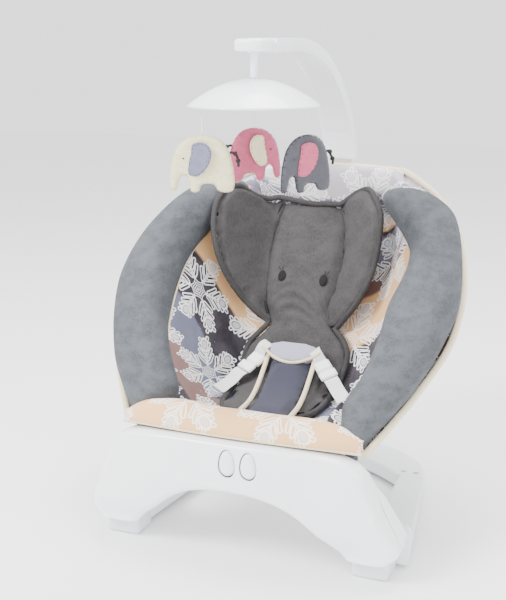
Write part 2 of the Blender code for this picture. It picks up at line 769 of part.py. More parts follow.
BUCKLE_S = 0.192           # where each buckle hangs beside the crotch pad
BUCKLE_TURN = {-1: math.radians(66), 1: math.radians(50)}
BUCKLE_GAP = {-1: 0.012, 1: 0.007}
STRAP_HALF = 0.011
STRAP_LENGTH = 0.052


def strap_point(sign, distance, aside, lift):
    """Point on the line that a waist strap follows outward from the pad's top corner."""
    turn = BUCKLE_TURN[sign]
    reach = distance * math.cos(turn) + aside * math.sin(turn)
    x = smooth(HARNESS_LINE, BUCKLE_S) + sign * (CROTCH_HALF + BUCKLE_GAP[sign] + reach)
    s = BUCKLE_S + 0.012 - distance * math.sin(turn) + aside * math.cos(turn)
    return on_seat(x, s, lift)


def make_waist_strap(side, sign, bounce):
    """Webbing that hangs from a buckle into the side of the seat, with the buckle's two halves."""
    rings = []
    for i in range(9):
        part = i / 8
        distance = 0.0435 + STRAP_LENGTH * part
        lift = 0.036 - 0.020 * ease(part)
        rings.append([strap_point(sign, distance, aside, lift + level) for aside, level in
                      ((-STRAP_HALF, 0.0), (STRAP_HALF, 0.0), (STRAP_HALF, 0.0016), (-STRAP_HALF, 0.0016))])
    add("waist_strap_" + side, loft("waist_strap_" + side, rings), ((0.90, 0.90, 0.90), 0.85), bounce)
    turn = seat_frame(BUCKLE_S) @ Matrix.Rotation(-sign * BUCKLE_TURN[sign], 3, "Z")
    box("buckle_socket_" + side, (0.022, 0.025, 0.010), (PLASTIC_WHITE, 0.35),
        strap_point(sign, 0.013, 0.0, 0.040), bevel=0.003, parent=bounce, rotation=turn)
    box("buckle_plug_" + side, (0.016, 0.027, 0.007), (PLASTIC_WHITE, 0.35),
        strap_point(sign, 0.0335, 0.0, 0.040), bevel=0.002, parent=bounce, rotation=turn)


def arm_basis():
    """Rotation whose X, Y and Z are across, out of the arm's face and up the arm's foot."""
    across = Vector((1.0, 0.0, 0.0))
    out = ARM_DIRECTION.cross(across)
    return Matrix((across, out, ARM_DIRECTION)).transposed()


TONGUE = (0.038, 0.0075, 0.036)
SOCKET = (0.060, 0.020, 0.042)


def make_mobile_socket(bounce):
    centre = ARM_BASE - ARM_DIRECTION * 0.019
    socket = box("mobile_socket", SOCKET, (PLASTIC_WHITE, 0.38), centre, bevel=0.003,
                 parent=bounce, rotation=arm_basis())
    cut(socket, cutter_box("tongue_space", (TONGUE[0] + 0.001, TONGUE[1] + 0.001, 0.060),
                           ARM_BASE + ARM_DIRECTION * (0.030 - 0.0362), arm_basis()))


# ---------------------------------------------------------------- mobile
ARM_PATH = ((0.2185, 0.5225), (0.199, 0.568), (0.173, 0.606), (0.141, 0.638), (0.101, 0.667),
            (0.051, 0.689), (-0.008, 0.700), (-0.070, 0.7015), (-0.1295, 0.7015))


ARM_STATIONS = 15


def arm_strip(name, first, last, width, thickness, out, look, parent):
    """Bent flat bar between two stations of the arm's path."""
    rows = []
    for station in range(first, last + 1):
        fraction = station / ARM_STATIONS
        y, z = along(ARM_PATH, fraction)
        ahead, behind = along(ARM_PATH, min(fraction + 0.01, 1)), along(ARM_PATH, max(fraction - 0.01, 0))
        tangent = (ahead - behind).normalized()
        offset = Vector((0.0, tangent.y, -tangent.x)) * out
        narrow = 1.0 - 0.18 * ease(fraction * 1.2)
        rows.append([Vector((width / 2 * narrow * u, y, z)) + offset for u in (-1, 0, 1)])
    item = add(name, sheet(name, rows), look, parent)
    thicken(item, thickness, 0.0)
    round_edges(item, min(thickness, 0.008) * 0.35, 1, 50)
    return item


def make_mobile_arm(lift):
    arm_strip("mobile_arm", 0, ARM_STATIONS, ARM_WIDTH, ARM_THICKNESS, 0.0, (PLASTIC_WHITE, 0.32), lift)
    arm_strip("arm_rear_cover", 2, 12, ARM_WIDTH - 0.012, 0.003, -ARM_THICKNESS / 2 - 0.0021,
              (PLASTIC_WHITE, 0.35), lift)
    tongue_centre = ARM_BASE + ARM_DIRECTION * (0.0225 - TONGUE[2] / 2)
    box("arm_tongue", TONGUE, (PLASTIC_WHITE, 0.4), tongue_centre, bevel=0.0012, parent=lift,
        rotation=arm_basis())


def make_arm_head(lift):
    """Rounded flat housing that holds the mobile's stem."""
    x, y = STEM_X_Y
    outline = []
    for step in range(32):
        angle = 2 * math.pi * step / 32
        c, s = math.cos(angle), math.sin(angle)
        outline.append((math.copysign(abs(c) ** 0.6, c) * HEAD_HALF_SIZE[0],
                        math.copysign(abs(s) ** 0.6, s) * HEAD_HALF_SIZE[1]))
    plate("arm_head", outline, HEAD_TOP_Z - HEAD_HEIGHT, HEAD_TOP_Z, (PLASTIC_WHITE, 0.32),
          bevel=0.004, centre=(x, y + 0.001, 0.0), parent=lift)


def make_stem_and_dome(spin):
    x, y = STEM_X_Y
    stem_middle = HEAD_TOP_Z - HEAD_HEIGHT - 2 * FIT_GAP - STEM_LENGTH / 2
    disc("stem", STEM_RADIUS, STEM_LENGTH, (PLASTIC_WHITE, 0.35), (x, y, stem_middle), segments=20,
         parent=spin)
    profile = [(DOME_RADIUS * (1 - i / 7), DOME_RISE * (1 - (1 - i / 7) ** 2)) for i in range(8)]
    bm = bmesh.new()
    rows = [[bm.verts.new((r * math.cos(a), r * math.sin(a), z))
             for a in [2 * math.pi * k / 28 for k in range(28)]] for r, z in profile[:-1]]
    crown = bm.verts.new((0, 0, profile[-1][1]))
    for low, high in zip(rows, rows[1:]):
        for k in range(28):
            bm.faces.new((low[k], low[(k + 1) % 28], high[(k + 1) % 28], high[k]))
    for k in range(28):
        bm.faces.new((rows[-1][k], rows[-1][(k + 1) % 28], crown))
    item = add("dome", finish(bm, "dome"), ((0.85, 0.89, 0.93), 0.3))
    place(item, (x, y, DOME_RIM_Z), None, spin)
    thicken(item, 0.0025)


def hook_place(which):
    angle = math.radians(HOOK_ANGLES[which])
    return Vector((STEM_X_Y[0] + HOOK_CIRCLE * math.sin(angle),
                   STEM_X_Y[1] - HOOK_CIRCLE * math.cos(angle), DOME_RIM_Z + 0.0005))


def make_hook(which, spin):
    """Small stud with a shoulder under the dome's edge."""
    place_at = hook_place(which)
    disc("hook_" + which, HOOK_RADIUS, HOOK_HEIGHT, (PLASTIC_WHITE, 0.4),
         place_at + Vector((0, 0, HOOK_HEIGHT / 2)), segments=12, parent=spin)


def toy_outline():
    """Standing elephant seen from the side, trunk on the left."""
    return ((-0.040, -0.070), (-0.034, -0.070), (-0.031, -0.061), (-0.026, -0.052), (-0.019, -0.054),
            (-0.017, -0.066), (-0.013, -0.072), (-0.005, -0.072), (-0.001, -0.064), (0.009, -0.061),
            (0.018, -0.065), (0.022, -0.072), (0.036, -0.072), (0.040, -0.064), (0.040, -0.048),
            (0.036, -0.030), (0.030, -0.014), (0.019, -0.003), (0.004, 0.001), (-0.012, -0.001),
            (-0.026, -0.009), (-0.035, -0.021), (-0.040, -0.038), (-0.043, -0.056))


TOY_LOOKS = {"left": (0.86, 0.82, 0.74), "centre": (0.90, 0.76, 0.75), "right": (0.60, 0.60, 0.62)}
TOY_FACES = {"left": 1, "centre": -1, "right": 1}


def make_toy(which, spin):
    swing = pivot("toy_%s_swing" % which, hook_place(which), (0.0, 0.0, math.radians(TOY_YAW[which])))
    swing.parent = spin
    swing.matrix_parent_inverse = spin.matrix_world.inverted()
    bpy.context.view_layer.update()
    top = hook_place(which) - Vector((0, 0, FIT_GAP))
    bottom = top - Vector((0, 0, STRING_LENGTH))
    points = [top.lerp(bottom, i / 11) for i in range(12)]
    tube("string_" + which, points, STRING_RADIUS, ((0.15, 0.15, 0.16), 0.8), resolution=2,
         parent=swing)
    outline = [(x * TOY_FACES[which], y) for x, y in toy_outline()]
    outline = outline if TOY_FACES[which] > 0 else outline[::-1]
    matrix = Matrix.Rotation(math.radians(TOY_YAW[which]), 3, "Z") @ Matrix.Rotation(math.pi / 2, 3, "X")
    plate("toy_" + which, outline, -0.0045, 0.0045, (TOY_LOOKS[which], 0.95), bevel=0.0025,
          centre=bottom - Vector((0, 0, 0.0028)), rotation=matrix, parent=swing)


# ---------------------------------------------------------------- assembly
def build_base():
    make_front_cover()
    make_back_cover()
    make_buttons()
    make_electronics()
    make_eccentric_weight()
    make_battery_door()
    for side, sign in (("left", -1), ("right", 1)):
        make_wire_socket(side, sign)
        make_front_foot(side, sign)
        make_side_arm(side, sign)
        make_rear_foot(side, sign)
    make_screws(make_rear_bar())


def build_seat():
    bounce = pivot("seat_bounce_axis", (0.0, BOUNCE_Y, BOUNCE_Z))
    make_seat_shell(bounce)
    for side, sign in (("left", -1), ("right", 1)):
        make_rim_tube("rim_tube_" + side, sign, bounce)
        make_spring_wire("spring_wire_" + side, sign, bounce)
        make_bolster("bolster_" + side, sign, bounce)
        make_waist_strap(side, sign, bounce)
    make_top_bolster(bounce)
    make_front_lip(bounce)
    make_insert(bounce)
    make_crotch_pad(bounce)
    make_mobile_socket(bounce)
    return bounce


def build_mobile(bounce):
    lift = pivot("mobile_lift", ARM_BASE)
    lift.parent = bounce
    lift.matrix_parent_inverse = bounce.matrix_world.inverted()
    bpy.context.view_layer.update()
    make_mobile_arm(lift)
    make_arm_head(lift)
    spin = pivot("mobile_spin", (*STEM_X_Y, DOME_RIM_Z))
    spin.parent = lift
    spin.matrix_parent_inverse = lift.matrix_world.inverted()
    bpy.context.view_layer.update()
    make_stem_and_dome(spin)
    for which in HOOK_ANGLES:
        make_hook(which, spin)
        make_toy(which, spin)


def main():
    clear_scene()
    build_base()
    build_mobile(build_seat())


main()
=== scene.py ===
import math

import bmesh
import bpy
from mathutils import Matrix, Vector, noise


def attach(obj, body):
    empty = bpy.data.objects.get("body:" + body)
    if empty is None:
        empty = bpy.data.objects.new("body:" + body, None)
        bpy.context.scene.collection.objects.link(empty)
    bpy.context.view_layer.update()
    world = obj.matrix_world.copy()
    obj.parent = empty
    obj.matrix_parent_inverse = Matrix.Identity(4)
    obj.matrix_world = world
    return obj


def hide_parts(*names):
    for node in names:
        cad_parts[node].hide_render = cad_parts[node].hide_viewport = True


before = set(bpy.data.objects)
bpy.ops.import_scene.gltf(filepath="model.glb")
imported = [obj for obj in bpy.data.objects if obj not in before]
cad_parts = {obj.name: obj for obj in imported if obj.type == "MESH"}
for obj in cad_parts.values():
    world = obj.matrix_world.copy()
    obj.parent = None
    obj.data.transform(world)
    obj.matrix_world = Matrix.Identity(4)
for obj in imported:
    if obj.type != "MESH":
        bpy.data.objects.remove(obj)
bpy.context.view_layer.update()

# ---------------------------------------------------------------- sizes shared with the CAD
RECLINE = math.radians(39.0)
RIM_FRONT = Vector((0.0, -0.201, 0.176))
RIM_LENGTH = 0.520
RIM_HALF_WIDTH = ((0.0, 0.183), (0.05, 0.210), (0.10, 0.235), (0.18, 0.262), (0.25, 0.267),
                  (0.30, 0.262), (0.37, 0.245), (0.425, 0.220), (0.47, 0.187), (0.50, 0.153),
                  (0.520, 0.124))
WELL_DEPTH = ((0.0, 0.004), (0.04, 0.022), (0.10, 0.078), (0.15, 0.112), (0.196, 0.127),
              (0.25, 0.116), (0.35, 0.086), (0.45, 0.048), (0.50, 0.026), (0.520, 0.012))
RIM_DROP = 0.014
SHELL_EDGE_INSET = 0.022
HEM_INSET = 0.0055

ARCH_FRONT_Y = -0.2555
ARCH_COVER_DEPTH = 0.035
ARCH_BOW = 0.030
ARCH_OUTER = ((0.217, 0.030), (0.231, 0.046), (0.222, 0.073), (0.207, 0.105),
              (0.195, 0.138), (0.181, 0.162), (0.145, 0.179), (0.075, 0.184), (0.0, 0.184))
ARCH_INNER = ((0.157, 0.030), (0.149, 0.038), (0.137, 0.049), (0.121, 0.062),
              (0.103, 0.077), (0.084, 0.090), (0.060, 0.101), (0.030, 0.108), (0.0, 0.110))
ARM_FRONT_Y, ARM_REAR_Y = -0.1603, 0.098
ARM_BOTTOM_Z, ARM_TOP_Z = 0.006, 0.030
BUTTON_X = {"left": 0.001, "right": 0.032}
BUTTON_Z, BUTTON_FRONT_Y = 0.155, -0.260

STEM_X_Y = (0.0, -0.157)
DOME_RADIUS, DOME_RIM_Z, DOME_RISE = 0.090, 0.623, 0.036
HOOK_CIRCLE = 0.078
HOOK_ANGLES = {"left": -37.4, "right": 82.6, "centre": 202.6}
TOY_YAW = {"left": 22.0, "right": 62.0, "centre": 52.0}
TOY_FACES = {"left": 1, "centre": -1, "right": 1}
STRING_LENGTH, STRING_RADIUS = 0.032, 0.0007
ARM_PATH = ((0.2185, 0.5225), (0.199, 0.568), (0.173, 0.606), (0.141, 0.638), (0.101, 0.667),
            (0.051, 0.689), (-0.008, 0.700), (-0.070, 0.7015), (-0.1295, 0.7015))
ARM_HALF_DEPTH = 0.0095
HEAD_TOP_Z, HEAD_HEIGHT = 0.710, 0.016
BUCKLE_S = 0.192
BUCKLE_TURN = {-1: math.radians(66), 1: math.radians(50)}
BUCKLE_GAP = {-1: 0.012, 1: 0.007}
HARNESS_LINE = ((0.046, 0.014), (0.110, 0.002), (0.192, -0.0095), (0.240, -0.0095))
CROTCH_HALF = 0.0385
SIDES = (("left", -1), ("right", 1))
CLOTH_SHIFT = -0.006       # the cloth hangs this far to the left at mid height

# ---------------------------------------------------------------- colours (linear)
WHITE_PLASTIC = (0.87, 0.89, 0.93)
GREY_PLUSH = (0.070, 0.076, 0.084)
INSERT_PLUSH = (0.053, 0.050, 0.051)
CREAM = (0.84, 0.72, 0.50)
PEACH = (0.88, 0.52, 0.24)
MAUVE = (0.21, 0.115, 0.10)
CHARCOAL = (0.022, 0.016, 0.026)
SLATE = (0.115, 0.125, 0.19)
LILAC = (0.21, 0.185, 0.26)
PALE = (0.50, 0.46, 0.52)


# ---------------------------------------------------------------- curves and surfaces
def smooth(table, value):
    """Cubic curve through a table of (input, output) pairs."""
    if value <= table[0][0]:
        return table[0][1]
    if value >= table[-1][0]:
        return table[-1][1]
    index = max(i for i in range(len(table) - 1) if table[i][0] <= value)
    (x0, y0), (x1, y1) = table[index], table[index + 1]

    def slope(i):
        low, high = max(i - 1, 0), min(i + 1, len(table) - 1)
        return (table[high][1] - table[low][1]) / (table[high][0] - table[low][0])

    span = x1 - x0
    t = (value - x0) / span
    return ((2 * t**3 - 3 * t**2 + 1) * y0 + (t**3 - 2 * t**2 + t) * span * slope(index)
            + (-2 * t**3 + 3 * t**2) * y1 + (t**3 - t**2) * span * slope(index + 1))


def along(points, fraction):
    at = fraction * (len(points) - 1)
    return Vector([smooth([(i, p[axis]) for i, p in enumerate(points)], at)
                   for axis in range(len(points[0]))])


def ease(value):
    value = min(max(value, 0.0), 1.0)
    return value * value * (3.0 - 2.0 * value)


def mix(low, high, share):
    return low + (high - low) * share


def spread(start, length, count):
    """Values from start over a length in equal steps, both ends included."""
    return [start + length * i / count for i in range(count + 1)]


def full_turn(count):
    """Angles round a full turn in equal steps."""
    return [2 * math.pi * k / count for k in range(count)]


def seat_point(x, s, n):
    """Point at x, s along the seat's rim slope and n above the rim plane."""
    return RIM_FRONT + Vector((x, s * math.cos(RECLINE) - n * math.sin(RECLINE),
                               s * math.sin(RECLINE) + n * math.cos(RECLINE)))


def rim_half_width(s):
    return smooth(RIM_HALF_WIDTH, s)


def hem_half_width(s):
    return rim_half_width(s) - HEM_INSET


def shell_half_width(s):
    return rim_half_width(s) - SHELL_EDGE_INSET


BOLSTER_INNER_X = ((-0.004, 0.150), (0.02, 0.130), (0.045, 0.117), (0.09, 0.140), (0.145, 0.163),
                   (0.19, 0.175), (0.24, 0.183), (0.30, 0.186), (0.36, 0.174), (0.40, 0.160),
                   (0.44, 0.142), (0.468, 0.130), (0.520, 0.110))


def shell_n(s, x):
    side = min(abs(x) / shell_half_width(s), 1.0)
    return -RIM_DROP - smooth(WELL_DEPTH, s) * (1.0 - side ** 2.6)


def cloth_n(s, x):
    """Height of the cloth, which climbs to the bolsters' inner seams."""
    seam = smooth(BOLSTER_INNER_X, s)
    climb = ease((abs(x) - 0.100) / (seam - 0.100)) if abs(x) > 0.100 else 0.0
    return shell_n(s, x) + climb * (0.002 - shell_n(s, seam))


def on_seat(x, s, lift):
    return seat_point(x, s, cloth_n(s, x) + lift)


def sideways(s):
    """How far the hem and bolsters hang to one side."""
    return CLOTH_SHIFT * ease(s / 0.12)


def seat_frame(s):
    step = 0.01
    up = (on_seat(0, s + step, 0) - on_seat(0, s - step, 0)).normalized()
    across = Vector((1.0, 0.0, 0.0))
    return Matrix((across, up, across.cross(up))).transposed()


# ---------------------------------------------------------------- mesh building
def link(name, data):
    item = bpy.data.objects.new(name, data)
    bpy.context.scene.collection.objects.link(item)
    return item


def finish_mesh(bm, name):
    bmesh.ops.recalc_face_normals(bm, faces=bm.faces)
    mesh = bpy.data.meshes.new(name)
    bm.to_mesh(mesh)
    bm.free()
    mesh.shade_smooth()
    return mesh


def loft(name, rings):
    """Closed skin through rings of the same number of points."""
    bm = bmesh.new()
    rows = [[bm.verts.new(point) for point in ring] for ring in rings]
    count = len(rows[0])
    for low, high in zip(rows, rows[1:]):
        for i in range(count):
            j = (i + 1) % count
            bm.faces.new((low[i], low[j], high[j], high[i]))
    bm.faces.new(rows[0])
    bm.faces.new(rows[-1])
    return link(name, finish_mesh(bm, name))


def grid(name, rows, closing=()):
    """Open sheet over a grid of points, with a cut map in metres along both directions."""
    bm = bmesh.new()
    verts = [[bm.verts.new(point) for point in row] for row in rows]
    cut_map = bm.loops.layers.uv.new("cut")
    middle = len(rows[0]) // 2
    across, up, length = [], [], 0.0
    for i, row in enumerate(rows):
        if i:
            length += (Vector(row[middle]) - Vector(rows[i - 1][middle])).length
        up.append(length)
        sums = [0.0]
        for a, b in zip(row, row[1:]):
            sums.append(sums[-1] + (Vector(b) - Vector(a)).length)
        across.append([value - sums[middle] for value in sums])
    for i in range(len(rows) - 1):
        for j in range(len(rows[0]) - 1):
            corners = ((i, j), (i, j + 1), (i + 1, j + 1), (i + 1, j))
            face = bm.faces.new([verts[a][b] for a, b in corners])
            for loop, (a, b) in zip(face.loops, corners):
                loop[cut_map].uv = (across[a][b], up[a])
    for index in closing:
        bm.faces.new(verts[index])
    return link(name, finish_mesh(bm, name))


def round_curve(name, radius, resolution, look):
    """Empty curve that is drawn as a round, capped tube."""
    curve = bpy.data.curves.new(name, "CURVE")
    curve.dimensions = "3D"
    curve.bevel_depth = radius
    curve.bevel_resolution = resolution
    curve.use_fill_caps = True
    curve.materials.append(look)
    return curve


def add_run(curve, points, cyclic=False, radii=None):
    spline = curve.splines.new("POLY")
    spline.points.add(len(points) - 1)
    spline.use_cyclic_u = cyclic
    for index, point in enumerate(points):
        spline.points[index].co = (*point, 1.0)
        spline.points[index].radius = 1.0 if radii is None else radii[index]


def tube(name, points, radius, look, cyclic=False, radii=None, resolution=4):
    curve = round_curve(name, radius, resolution, look)
    add_run(curve, points, cyclic, radii)
    return link(name, curve)


def stitches(name, runs, radius, look):
    """Short thread stitches, each a run of two or three points."""
    curve = round_curve(name, radius, 1, look)
    for run in runs:
        add_run(curve, run)
    return link(name, curve)


def stitch_line(points, pitch, share):
    """Cut a line into stitches of one pitch."""
    lengths = [0.0]
    for a, b in zip(points, points[1:]):
        lengths.append(lengths[-1] + (b - a).length)

    def at(distance):
        for k in range(len(points) - 1):
            if lengths[k + 1] >= distance:
                span = max(lengths[k + 1] - lengths[k], 1e-9)
                return points[k].lerp(points[k + 1], (distance - lengths[k]) / span)
        return points[-1]

    count = int(lengths[-1] / pitch)
    return [(at(i * pitch), at((i + share) * pitch)) for i in range(count)]


def dress(item, look):
    item.data.materials.clear()
    item.data.materials.append(look)
    return item


def modifier(item, kind, **settings):
    made = item.modifiers.new(kind.title(), kind)
    for key, value in settings.items():
        setattr(made, key, value)
    return made


def apply_modifiers(item):
    bpy.context.view_layer.update()
    depsgraph = bpy.context.evaluated_depsgraph_get()
    mesh = bpy.data.meshes.new_from_object(item.evaluated_get(depsgraph))
    item.modifiers.clear()
    item.data = mesh
    mesh.shade_smooth()
    return item


def back_up(item, thickness, index=None, **settings):
    """Give a sheet its thickness on the side away from its face."""
    middle = item.data.polygons[index or len(item.data.polygons) // 2]
    modifier(item, "SOLIDIFY", thickness=thickness, offset=-1.0 if middle.normal.z > 0 else 1.0,
             **settings)


def subtract(item, cutter):
    modifier(item, "BOOLEAN", operation="DIFFERENCE", solver="EXACT", object=cutter)
    apply_modifiers(item)
    bpy.data.objects.remove(cutter, do_unlink=True)


def assign(item, body, slot, *nodes, fill=None):
    """Say what a piece moves with and the solids it stands for; slot and fill are not used."""
    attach(item, body)
    if nodes:
        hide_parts(*nodes)
    return item


def plump(item, cap, pressure, voxel):
    """Swell a padded piece with a short cloth simulation, moving no point by more than cap."""
    modifier(item, "REMESH", mode="VOXEL", voxel_size=voxel, use_smooth_shade=True)
    apply_modifiers(item)
    before = [v.co.copy() for v in item.data.vertices]
    cloth = item.modifiers.new("Cloth", "CLOTH")
    settings = cloth.settings
    settings.quality = 5
    settings.mass = 0.3
    settings.use_pressure = True
    settings.uniform_pressure_force = pressure
    settings.effector_weights.gravity = 0.0
    cloth.point_cache.frame_start = 1
    cloth.point_cache.frame_end = 20
    for step in range(1, 21):
        bpy.context.scene.frame_set(step)
    apply_modifiers(item)
    bpy.context.scene.frame_set(1)
    for vertex, start in zip(item.data.vertices, before):
        moved = vertex.co - start
        if moved.length > cap:
            vertex.co = start + moved.normalized() * cap
    modifier(item, "SMOOTH", factor=0.5, iterations=3)
    modifier(item, "SUBSURF", levels=1, render_levels=1)
    return apply_modifiers(item)


# ---------------------------------------------------------------- node fields
class Field:
    """A shader socket that takes part in arithmetic."""

    def __init__(self, tree, socket):
        self.tree, self.socket = tree, socket

    def math(self, operation, *others):
        node = self.tree.nodes.new("ShaderNodeMath")
        node.operation = operation
        for index, value in enumerate((self, *others)):
            if isinstance(value, Field):
                self.tree.links.new(value.socket, node.inputs[index])
            else:
                node.inputs[index].default_value = value
        return Field(self.tree, node.outputs[0])

    def __add__(self, other):
        return self.math("ADD", other)

    def __sub__(self, other):
        return self.math("SUBTRACT", other)

    def __mul__(self, other):
        return self.math("MULTIPLY", other)

    def __truediv__(self, other):
        return self.math("DIVIDE", other)

    def span(self, low, high, to_low=0.0, to_high=1.0):
        """Smooth step from one range to another."""
        node = self.tree.nodes.new("ShaderNodeMapRange")
        node.interpolation_type = "SMOOTHSTEP"
        self.tree.links.new(self.socket, node.inputs["Value"])
        for name, value in (("From Min", low), ("From Max", high), ("To Min", to_low),
                            ("To Max", to_high)):
            node.inputs[name].default_value = value
        return Field(self.tree, node.outputs["Result"])


class Look:
    """A procedural material under construction."""

    def __init__(self, name):
        self.material = bpy.data.materials.new(name)
        self.material.use_nodes = True
        self.tree = self.material.node_tree
        self.shader = self.tree.nodes["Principled BSDF"]
        self.place = self.node("ShaderNodeTexCoord").outputs["Object"]

    def node(self, kind, **settings):
        made = self.tree.nodes.new(kind)
        for key, value in settings.items():
            setattr(made, key, value)
        return made

    def noise(self, scale, detail=3.0, roughness=0.55, stretch=None):
        texture = self.node("ShaderNodeTexNoise")
        texture.inputs["Scale"].default_value = scale
        texture.inputs["Detail"].default_value = detail
        texture.inputs["Roughness"].default_value = roughness
        source = self.place
        if stretch:
            mapping = self.node("ShaderNodeMapping")
            mapping.inputs["Scale"].default_value = stretch
            self.tree.links.new(source, mapping.inputs["Vector"])
            source = mapping.outputs["Vector"]
        self.tree.links.new(source, texture.inputs["Vector"])
        return Field(self.tree, texture.outputs["Fac"])

    def split(self, socket):
        node = self.node("ShaderNodeSeparateXYZ")
        self.tree.links.new(socket, node.inputs[0])
        return [Field(self.tree, node.outputs[i]) for i in range(3)]

    def cut_map(self):
        """Coordinates along the cloth in metres."""
        node = self.node("ShaderNodeUVMap", uv_map="cut")
        return self.split(node.outputs["UV"])[:2]

    def blend(self, share, low, high):
        """Colour between two colours or colour sockets."""
        node = self.node("ShaderNodeMix", data_type="RGBA")
        self.feed(share, node.inputs[0])
        self.feed(low, node.inputs[6])
        self.feed(high, node.inputs[7])
        return node.outputs[2]

    def feed(self, value, socket):
        if isinstance(value, Field):
            self.tree.links.new(value.socket, socket)
        elif isinstance(value, bpy.types.NodeSocket):
            self.tree.links.new(value, socket)
        elif isinstance(value, tuple):
            socket.default_value = (*value, 1.0) if len(value) == 3 else value
        else:
            socket.default_value = value

    def colour(self, value):
        self.feed(value, self.shader.inputs["Base Color"])

    def surface(self, **values):
        for name, value in values.items():
            title = name.replace("_", " ").title().replace("Ior", "IOR")
            self.feed(value, self.shader.inputs[title])

    def bump(self, height, distance, strength):
        node = self.node("ShaderNodeBump")
        node.inputs["Distance"].default_value = distance
        node.inputs["Strength"].default_value = strength
        self.feed(height, node.inputs["Height"])
        self.tree.links.new(node.outputs["Normal"], self.shader.inputs["Normal"])


def shade(colour, factor):
    return tuple(min(value * factor, 1.0) for value in colour)


def plastic(name, colour, roughness=0.3, grain=0.00004):
    """Moulded plastic: slight orange peel, soft mottling and a rubbed sheen."""
    look = Look(name)
    mottle = look.noise(14.0, 2.0).span(0.35, 0.7)
    look.colour(look.blend(mottle, shade(colour, 0.975), shade(colour, 1.02)))
    look.surface(roughness=look.noise(60.0, 3.0).span(0.3, 0.75, roughness - 0.05,
                                                      roughness + 0.08))
    look.surface(coat_weight=0.15, coat_roughness=0.25)
    look.bump(look.noise(1400.0, 2.0), grain, 0.6)
    return look.material


def textured_plastic(name, colour, roughness=0.5):
    """Spark-eroded plastic grain."""
    look = Look(name)
    grain = look.noise(2600.0, 4.0, 0.7)
    look.colour(look.blend(look.noise(20.0, 3.0), shade(colour, 0.95), colour))
    look.surface(roughness=grain.span(0.3, 0.7, roughness - 0.08, roughness + 0.1))
    look.bump(grain, 0.00012, 0.8)
    return look.material


def plush(name, colour, pile=0.0016, nap=1.0):
    """Short pile: heathered fibres, brushed patches and a soft sheen."""
    look = Look(name)
    fibres = look.noise(1500.0, 5.0, 0.75)
    tufts = look.noise(420.0, 4.0, 0.7, stretch=(1.0, 1.0, 0.45))
    patches = look.noise(34.0, 5.0, 0.68, stretch=(1.0, 0.8, 1.5))
    speckle = (fibres * 0.6 + tufts * 0.4).span(0.36, 0.64)
    ground = look.blend(speckle, shade(colour, 0.70), shade(colour, 1.32))
    brushed = patches.span(0.36, 0.66, 0.0, 1.0)
    look.colour(look.blend(brushed * 0.62 * nap, ground, shade(colour, 1.65)))
    look.surface(roughness=0.95, sheen_weight=0.22, sheen_roughness=0.45,
                 sheen_tint=(*shade(colour, 2.2), 1.0), specular_ior_level=0.15)
    look.bump(fibres * 0.45 + tufts * 0.55, pile, 0.55)
    return look.material


def felt(name, colour):
    look = Look(name)
    fibres = look.noise(900.0, 6.0, 0.8)
    clouds = look.noise(120.0, 3.0)
    tone = (fibres * 0.7 + clouds * 0.3).span(0.36, 0.66)
    look.colour(look.blend(tone, shade(colour, 0.80), shade(colour, 1.12)))
    look.surface(roughness=0.95, sheen_weight=0.25, specular_ior_level=0.15)
    look.bump(fibres, 0.0007, 0.5)
    return look.material


def weave_height(x, y, pitch):
    """Plain weave: warp and weft take turns on top."""
    turn = 2 * math.pi / pitch
    warp = (x * turn).math("SINE").math("ABSOLUTE")
    weft = (y * turn).math("SINE").math("ABSOLUTE")
    sign = ((x * (turn / 2)).math("SINE") * (y * (turn / 2)).math("SINE")).math("SIGN")
    over = sign * 0.5 + 0.5
    return warp * over + weft * (over * -1.0 + 1.0)


def seat_place(look):
    """Coordinates across and up the seat's slope in metres."""
    x, y, z = look.split(look.place)
    return x, y * math.cos(RECLINE) + z * math.sin(RECLINE)


def woven(name, colour, pitch=0.0011, sheen=0.1):
    look = Look(name)
    x, up = seat_place(look)
    threads = weave_height(x, up, pitch)
    slubs = look.noise(300.0, 3.0, stretch=(1.0, 0.2, 1.0))
    tone = threads * 0.6 + slubs * 0.4
    look.colour(look.blend(tone.span(0.15, 0.85), shade(colour, 0.82), shade(colour, 1.08)))
    look.surface(roughness=0.85, sheen_weight=sheen, specular_ior_level=0.2)
    look.bump(threads + look.noise(40.0, 3.0) * 1.5, 0.0003, 0.6)
    return look.material


def webbing(name, colour):
    """Narrow woven tape with a ribbed face."""
    look = Look(name)
    x, up = seat_place(look)
    waver = (x * (2 * math.pi / 0.0022)).math("SINE") * 0.8
    ribs = (up * (2 * math.pi / 0.0016) + waver).math("SINE")
    look.colour(look.blend(ribs.span(-1.0, 1.0), shade(colour, 0.80), colour))
    look.surface(roughness=0.7, sheen_weight=0.1)
    look.bump(ribs, 0.00025, 0.7)
    return look.material


def metal(name, colour, roughness=0.3):
    look = Look(name)
    streaks = look.noise(260.0, 3.0, stretch=(1.0, 12.0, 1.0))
    look.colour(look.blend(streaks, shade(colour, 0.85), colour))
    look.surface(metallic=1.0,
                 roughness=streaks.span(0.3, 0.7, roughness - 0.08, roughness + 0.12))
    look.bump(streaks, 0.00003, 0.5)
    return look.material


def capsule(across, lengthways, half_length, radius):
    """Distance to a rounded bar in node fields."""
    beyond = (lengthways.math("ABSOLUTE") - (half_length - radius)).math("MAXIMUM", 0.0)
    return (beyond * beyond + across * across).math("SQRT") - radius


PRINT_SCALE = 1.35
FLAKE_WIDE, FLAKE_TALL = 0.104, 0.090      # one repeat of the print before scaling
COTTON_PITCH = 0.0009                      # thread pitch of the printed cotton


